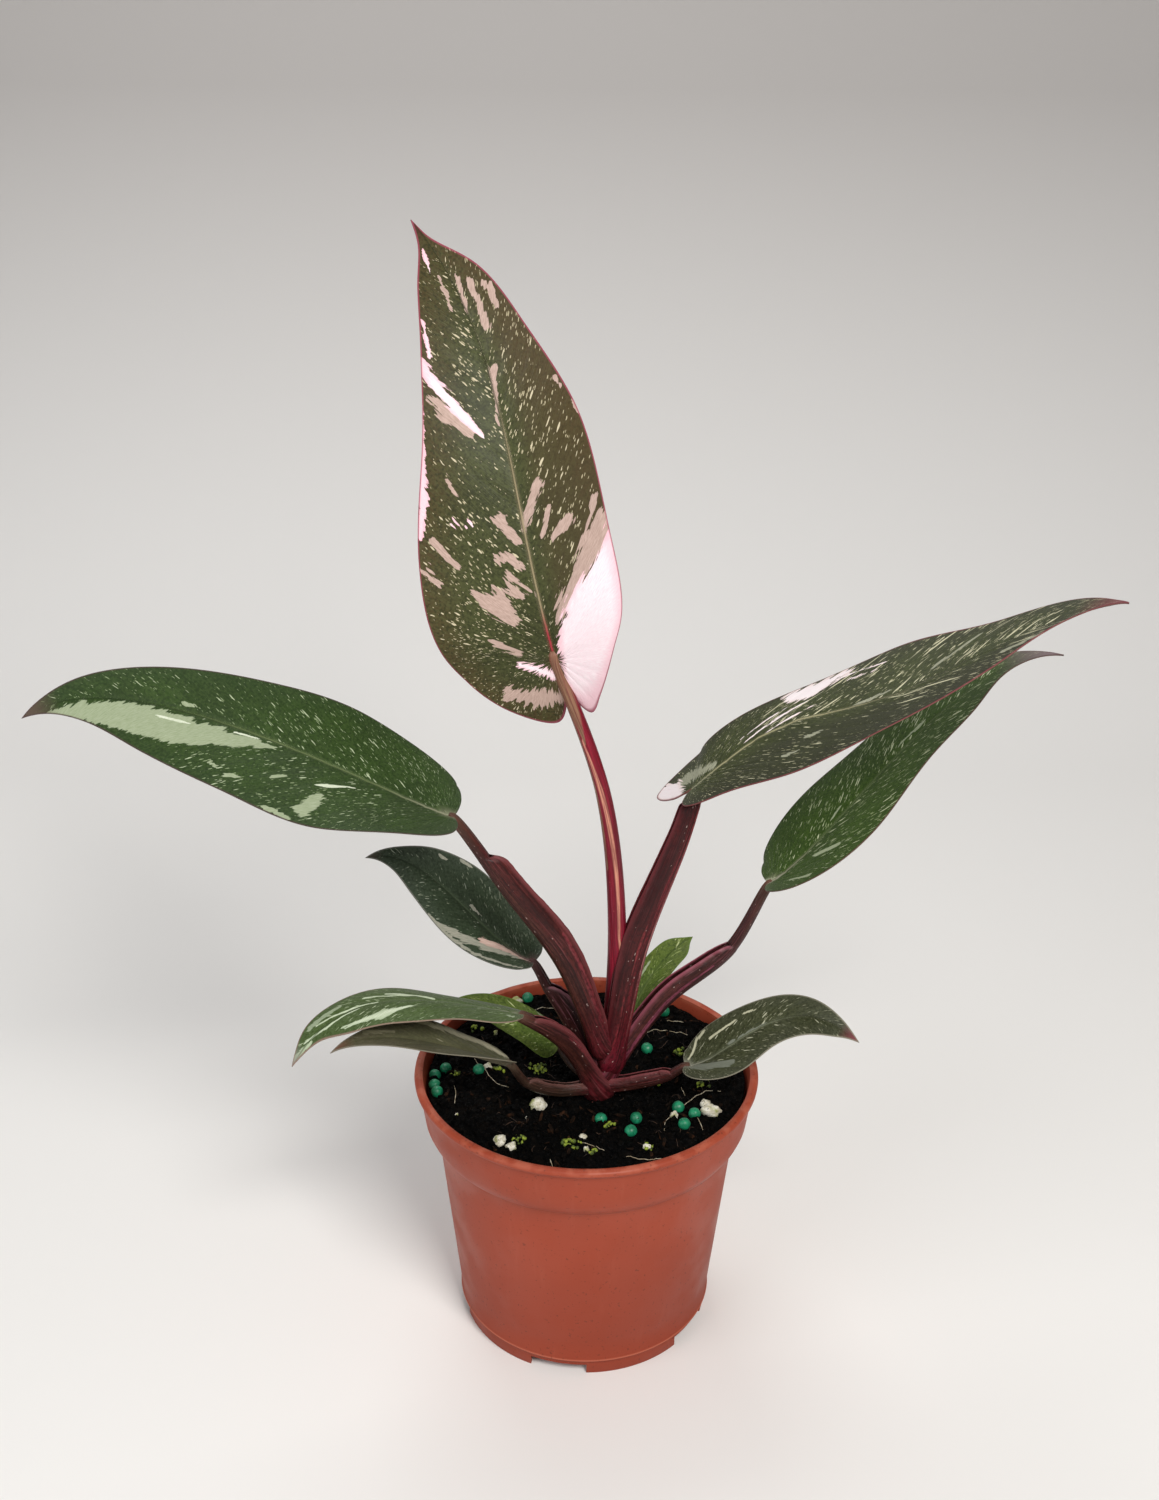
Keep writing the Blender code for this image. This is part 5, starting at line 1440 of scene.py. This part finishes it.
middle_look = green_look | dict(
    inner="2e3b27", deep="202a1a", outer="353e32", thread="434f3c", fleck="8e9484", speck="7d8470",
    rare=0.66, streaky=0.95, patch="a29e90", patch_shade="878a7a", sector="dac0b2",
    sector_shade="c5a497", sector_edge="a98d80", rib="4c5a40", rib_base="8a6a68", tip="4a4038",
    margin="6f6f66")
plum_skin = maroon_skin | dict(
    back="4d2a26", wing="582c2a", edge="96606a", top="6a4a46", root="501a22")
left_mid = dict(
    spine=((-19, 3, 139), (-36, 9, 142), (-55, 9, 184), (-75, 6, 177)), face=(0, -0.6, 1),
    roll=(28, -26), fold=16, curl=0.0, left=(15, 0.02, 0.87, 0.94, 0.66, 0.32),
    right=(13.4, 0.02, 0.9, 0.96, 0.68, 0.29), wave=(0.5, 2.0, 1.0), droop=0.0,
    petiole=((2, -3, 104), (-6, 0, 117), (-13, 1, 129)), thick=(2.9, 1.8), sheath=(0.66, 2.4, 0.2),
    foot=(5.0, 1.1), neck=(1.2, 0.8, 0.4), closing=0.3, seed=17.0, veins=18, look=middle_look,
    skin=plum_skin,
    marks=[
        (SECTOR, [(0.5, -0.7), (8.2, -1.6), (19.3, -6)], [0.5, 1.3, 1.6]),
        (PATCH, [(3, -1.4), (15.8, -7.5), (25.6, -11.2), (37, -13.4)], [0.6, 1.5, 1.6, 0.8]),
        (PATCH, [(40.4, -12.6), (32, -14.2), (19, -13.9), (1, -9)], [0.5, 0.8, 0.7, 0.5]),
        (PATCH, [(29.3, 1.9), (22.2, 1.6)], [0.6, 0.3]),
        (PATCH, [(48.3, 7.6), (45.6, 7.8)], [0.5, 0.4]),
        (PATCH, [(41.6, 10.9), (37.6, 11.5)], [0.5, 0.4]),
        (FLECKS, [(8, 8), (16, 10)], [5, 4]),
        (FLECKS, [(55, -6), (45, -10)], [4, 3])])
finish_leaf("left_mid", left_mid, 110, 24)


# Low left leaf
# A silvery green leaf that arches out over the rim, its tip bent down, with near white streaks.

silver_look = green_look | dict(
    inner="4a5e2c", deep="36461f", outer="46582f", thread="60724a", fleck="bcc8a4", speck="93a07c",
    rare=0.68, streaky=0.9, patch="a4b094", patch_shade="8a9878", sector="dde4cc",
    sector_shade="bccaa8", sector_edge="9db088", rib="6c7c55", rib_base="a8a48c", tip="96968a",
    margin="8f7468", under="8d8674")
left_low = dict(
    spine=((-22, -19, 132), (-50, -15, 135), (-81, -23, 149), (-97, -33, 120)), face=(0, -0.1, 1),
    roll=(31, -3), fold=2, curl=-0.15, left=(14, 0.015, 1.0, 0.96, 0.8, 0.27),
    right=(14, 0.015, 0.94, 0.9, 0.69, 0.5), wave=(0.5, 2.0, 0.0), droop=0.0,
    petiole=((3, -8, 98), (-5, -11, 113), (-12, -15, 122.5)), thick=(3.9, 2.8),
    sheath=(0.8, 0.95, 0.15), foot=(7.0, 1.45), neck=(1.2, 0.8, 0.4), closing=0.6, seed=23.0,
    veins=16, look=silver_look, skin=maroon_skin,
    bands=[(BAND_A, [(0.0, -2.4), (0.3, -2.3), (0.5, -2.2)], [0.2, 0.25, 0.1])],
    marks=[
        (SECTOR, [(62, -7.6), (54, -8.2), (48, -8.2), (36.5, -4.9)], [0.3, 1.0, 1.9, 0.5]),
        (SECTOR, [(76, 0.9), (67, -1.6), (54.5, -1)], [0.5, 0.5, 0.25]),
        (SECTOR, [(45, 5.6), (36, 3.8), (29.5, 1.7)], [0.5, 1.1, 0.7]),
        (SECTOR, [(52, 5.0), (38, 3.0)], [0.5, 0.4]),
        (SECTOR, [(70, 2.6), (58, 0.6), (48, 0.4)], [0.3, 0.45, 0.2]),
        (FLECKS, [(40, -9), (60, -9)], [6, 6]),
        (FLECKS, [(50, 8), (75, 4)], [5, 5]),
        (SECTOR, [(84, 0.5), (74, -1.4)], [1.3, 0.8]),
        (SECTOR, [(62, -6.5), (57, -7.6)], [0.5, 0.3]),
        (PATCH, [(2.5, -7), (4.5, -6.4)], [1.0, 0.5]),
        (PATCH, [(72, 4), (60, 5)], [1.2, 0.6])])
finish_leaf("left_low", left_low, 120, 26)


# Lowest left leaf
# An old narrow leaf, dull olive brown with dark lines along its veins and a cream band.

old_look = silver_look | dict(
    inner="66654a", deep="4c4c35", outer="6a6450", thread="36362a", fleck="98927a", speck="666149",
    rare=0.7, streaky=0.85, patch="858068", patch_shade="706c56", sector="c0baa0",
    sector_shade="a29c82", sector_edge="8e886e", rib="5c5a42", rib_base="8a8470", tip="70453a",
    margin="7d7868", under="6c6454", tip_from=0.84)
brown_skin = maroon_skin | dict(
    back="4b382b", wing="503428", deep="2a1c16", edge="6a4640", top="6a5a48", gloss=0.08)
left_lowest = dict(
    spine=((-26, -25, 117), (-43, -30, 125), (-70, -27, 135), (-84, -34, 126)), face=(0, 0, 1),
    roll=(21, -15), fold=12, curl=0.0, left=(9, 0.015, 0.92, 0.96, 0.63, 0.33),
    right=(11, 0.015, 0.92, 0.97, 0.62, 0.26), wave=(0.4, 2.0, 0.5), droop=0.0,
    petiole=((2, -9, 96), (-10, -14, 98), (-20, -20, 105)), thick=(2.4, 1.6),
    sheath=(0.62, 1.2, 0.1), foot=(4.0, 1.2), neck=(1.2, 0.6, 0.4), closing=0.6, seed=29.0,
    veins=14, look=old_look, skin=brown_skin,
    marks=[
        (SECTOR, [(36, 8.8), (22, 9.2), (8, 8.8), (0, 4.4)], [0.6, 1.7, 2.1, 1.5]),
        (PATCH, [(49, 2.6), (40, 2.6)], [1.0, 0.7])])
finish_leaf("left_lowest", left_lowest, 100, 22)


# Young leaves at the back
# Two small leaves that lie behind the others, near the mix, in bright yellow green.

young_look = green_look | dict(
    inner="4f6420", deep="2f4014", outer="52601f", thread="687a3a", fleck="b4bd86", speck="9ba866",
    rare=0.6, streaky=0.5, rib="647438", rib_base="7a8450", tip="4c6018", margin="5a702a",
    under="5c6a34")
left_back = dict(
    spine=((-10, 6, 103), (-20, 10, 113), (-37, 14, 121), (-51, 17, 112)), face=(0, -0.4, 1),
    roll=(0, 0), fold=10, curl=0.0, left=(10, 0.02, 0.94, 0.9, 0.66, 0.36),
    right=(4.5, 0.02, 0.94, 0.9, 0.66, 0.36), wave=(0.4, 2.0, 0.0), droop=0.0,
    petiole=((2, -3, 95), (-2, 0, 96), (-6, 3, 98)), thick=(1.9, 1.3), sheath=(0.0, 0.0, 0.05),
    foot=(4.0, 1.1), neck=(1.0, 0.5, 0.4), closing=0.0, seed=31.0, veins=12, look=young_look,
    skin=brown_skin,
    marks=[(PATCH, [(8, 4), (20, 6)], [0.7, 0.4])])
finish_leaf("left_back", left_back, 80, 18)

right_back = dict(
    spine=((13, 6, 104), (16, 14, 116), (25, 24, 128), (38, 34, 131)), face=(-0.5, -0.6, 0.7),
    roll=(0, 0), fold=10, curl=0.0, left=(6.8, 0.02, 0.92, 0.97, 0.88, 0.74),
    right=(7, 0.02, 0.92, 0.96, 0.86, 0.7), wave=(0.4, 2.0, 0.0), droop=0.0,
    petiole=((7, -3, 95), (9, 1, 97), (12, 5, 101)), thick=(1.9, 1.3), sheath=(0.0, 0.0, 0.05),
    foot=(4.0, 1.1), neck=(1.0, 0.5, 0.4), closing=0.0, seed=37.0, veins=12, look=young_look,
    skin=brown_skin,
    marks=[(PATCH, [(6, -3), (30, -4)], [0.6, 0.4]), (PATCH, [(10, 4), (24, 5)], [0.8, 0.4])])
finish_leaf("right_back", right_back, 80, 18)


# Upper right leaf
# A long leaf that rises to the right and twists over. Dense cream streaks follow its veins, and a
# ragged pink white patch sits on its far margin.

streaked_look = top_look | dict(
    inner="3a4122", deep="2a2f19", outer="2d2d22", rim_green=8.0, thread="50572f", fleck="d4d0ae",
    speck="aeab88", rare=0.62, streaky=0.45, patch="a6a790", patch_shade="8e8f79", rib="b3ac84",
    rib_base="9c9c7e", rib_turn=(0.0, 0.1), rib_width=0.45, rib_end=0.6, glow=0.03,
    margin="7d3a42", margin_width=0.5, tip="84333f", tip_from=0.86, under="6f5a48", flush=0.55,
    rim_pink=0.9, blush=0.06, ragged=0.9, sector_edge="ecd2ca", sector="fff7f7",
    sector_shade="fbecef")
scarlet_skin = maroon_skin | dict(
    back="6e1c24", wing="481415", deep="290b0c", band_a="8a3236", edge="5a2024", gloss=0.08,
    root="621322", band_b="240a0c", band_c="b97674", bare=0.965, top="7c2e34")
right_high = dict(
    spine=((34, 4, 205), (54, -4, 225), (150, -4, 276), (157, -31, 283)), face=(0, -0.15, 1),
    roll=(4, -9), fold=3, curl=-0.06, left=(25, 0.12, 0.92, 0.96, 0.63, 0.66),
    right=(21, 0.022, 0.66, 1.1, 0.78, 0.28), wave=(0.9, 2.0, 1.2), droop=0.0,
    petiole=((9, -5, 106), (17.6, -4, 150), (30.5, 1, 186)), thick=(3.6, 2.6),
    sheath=(0.9, 2.2, 0.03), foot=(6.0, 1.3), neck=(-0.2, 3.0, 1.15), closing=0.85, seed=41.0,
    veins=24,
    sway=[(0.0, 0.0), (0.17, -7.0), (0.27, -6.0), (0.38, 1.0), (0.5, 7.0), (0.75, 4.0), (1, 0)],
    look=streaked_look, skin=scarlet_skin,
    bands=[
        (BAND_A, [(0.12, 0.8), (0.5, 0.75), (1.0, 0.72)], [0.25, 0.55, 0.78]),
        (BAND_B, [(0.5, 1.4), (0.8, 1.5), (0.94, 1.55)], [0.04, 0.1, 0.1]),
        (BAND_C, [(0.05, 1.2), (0.4, 1.1), (0.7, 1.0), (1.0, 1.05)], [0.04, 0.09, 0.09, 0.08]),
        (BAND_C, [(0.4, 0.35), (0.7, 0.4), (1.0, 0.45)], [0.02, 0.06, 0.07]),
        (BAND_A, [(0.05, 2.1), (0.3, 2.1), (0.5, 2.0)], [0.08, 0.1, 0.03])],
    marks=[
        (SECTOR, [(40, -21.5), (46, -20), (60, -23)], [3.4, 4.4, 1.3]),
        (SECTOR, [(-20, -10.5), (-12, -6), (-8, -2)], [5.5, 5.5, 3.5]),
        (PATCH, [(-6, -8), (0, -7), (9, -5)], [3.4, 3.0, 1.4]),
        (SECTOR, [(22, -8.0), (36, -12.8), (47, -14.6)], [0.3, 0.6, 0.3]),
        (SECTOR, [(20, -10.5), (30, -14), (38, -16)], [0.2, 0.4, 0.2]),
        (SECTOR, [(28, -7), (38, -9), (50, -10)], [0.2, 0.35, 0.2]),
        (SECTOR, [(52, -21), (66, -18.5), (74, -16)], [0.5, 0.6, 0.2]),
        (SECTOR, [(60, -16.2), (70.7, -13.8)], [0.6, 0.4]),
        (PATCH, [(61, 1.5), (72.7, 2.1)], [0.6, 0.9]),
        (PATCH, [(88, 0), (104.5, -10)], [0.9, 0.5]),
        (PATCH, [(111, 9.5), (125, 8.2)], [0.9, 0.6]),
        (PATCH, [(43, 6), (49, 7)], [0.9, 0.5]),
        (PATCH, [(35, 10), (40, 11)], [0.9, 0.5]),
        (FLECKS, [(40, -14), (90, -8), (140, -3)], [12, 18, 14]),
        (FLECKS, [(80, 8), (130, 6)], [8, 10])])
finish_leaf("right_high", right_high, 160, 34)


# Middle right leaf
# A fresh green leaf that passes behind the one above, fine flecked, with a mauve tip.

fresh_look = green_look | dict(
    inner="314a0b", deep="233808", outer="2a410f", rib="5f6f42", rib_base="a8a08c", fleck="c0c8a2",
    speck="93a074", rare=0.6, streaky=0.8, margin="54302f", tip="857076", tip_from=0.8,
    rib_end=0.9, thread="4a6028")
rosy_skin = maroon_skin | dict(
    back="4a2c26", wing="4c2420", edge="8f4a58", top="74503f", band_a="8c4458")
right_mid = dict(
    spine=((62, 13, 165), (82, 14, 176), (127, 56, 236), (160, 39, 239)), face=(0, -0.25, 1),
    roll=(-25, -18), fold=13, curl=-0.1, left=(22, 0.012, 0.93, 0.79, 0.63, 0.46),
    right=(22, 0.012, 0.95, 0.83, 0.69, 0.26), wave=(0.7, 2.0, 0.3), droop=0.0,
    petiole=((7, -6, 99), (26, 2, 124), (49, 9, 141)), thick=(3.2, 2.1), sheath=(0.65, 1.8, 0.12),
    foot=(5.0, 1.15), neck=(1.2, 0.8, 0.4), closing=0.35, seed=43.0, veins=22, look=fresh_look,
    skin=rosy_skin,
    bands=[(BAND_A, [(0.0, 1.4), (0.25, 1.7), (0.55, 2.0)], [0.2, 0.25, 0.1])],
    marks=[
        (PATCH, [(16.9, 7.1), (24.5, 13.3)], [0.7, 1.1]),
        (PATCH, [(6.2, 11.2), (11.1, 16.9)], [0.5, 0.8]),
        (PATCH, [(30.7, -2.4), (37.5, -3.3)], [0.6, 0.3]),
        (PATCH, [(65.7, -2.4), (77.5, -2.1)], [0.35, 0.6]),
        (PATCH, [(-1, -1.5), (2.5, 0.5), (6.5, 0.2)], [1.3, 1.3, 0.4]),
        (SECTOR, [(0, 1.5), (4.4, -0.4)], [0.8, 0.4]),
        (FLECKS, [(40, 2), (110, 0)], [20, 16])])
finish_leaf("right_mid", right_mid, 150, 30)


# Low right leaf
# A small leaf that arches over the rim: grey green with cream streaks near its base, red tipped.

grey_look = silver_look | dict(
    inner="33371c", deep="272a16", outer="37392a", thread="54583f", fleck="b2b298", speck="86866e",
    rare=0.58, streaky=0.62, patch="74786a", patch_shade="63675a", sector="cbc9ac",
    sector_shade="b0ae92", sector_edge="8f8e76", rib="7a7f66", rib_width=0.3, rib_base="a9a898",
    tip="7a2c3a", tip_from=0.87, margin="84806f")
right_low = dict(
    spine=((34, -16, 110), (47, -17, 110), (66, -7, 142), (91, -21, 123)), face=(0, -0.5, 1),
    roll=(-28, 13), fold=14, curl=-0.08, left=(12, 0.02, 0.95, 0.8, 0.59, 0.28),
    right=(13.5, 0.02, 0.93, 0.77, 0.57, 0.35), wave=(0.5, 2.0, 0.8), droop=0.0,
    petiole=((7, -8, 96), (16, -11, 99), (27, -14, 104)), thick=(2.5, 1.7), sheath=(0.7, 1.5, 0.1),
    foot=(4.0, 1.2), neck=(1.2, 0.6, 0.4), closing=0.5, seed=47.0, veins=14, look=grey_look,
    skin=maroon_skin,
    marks=[
        (SECTOR, [(0.5, -2.6), (5.8, -9.6), (10.6, -11)], [0.4, 0.9, 0.4]),
        (SECTOR, [(11.4, -7), (22.3, -7.2)], [0.5, 0.35]),
        (PATCH, [(16.3, -0.9), (30.8, -0.3)], [0.5, 0.35]),
        (SECTOR, [(25, -8), (29.5, -6.8)], [0.45, 0.3]),
        (PATCH, [(2, 2), (8, 5), (15, 8)], [1.5, 2.2, 1.2])])
finish_leaf("right_low", right_low, 110, 24)
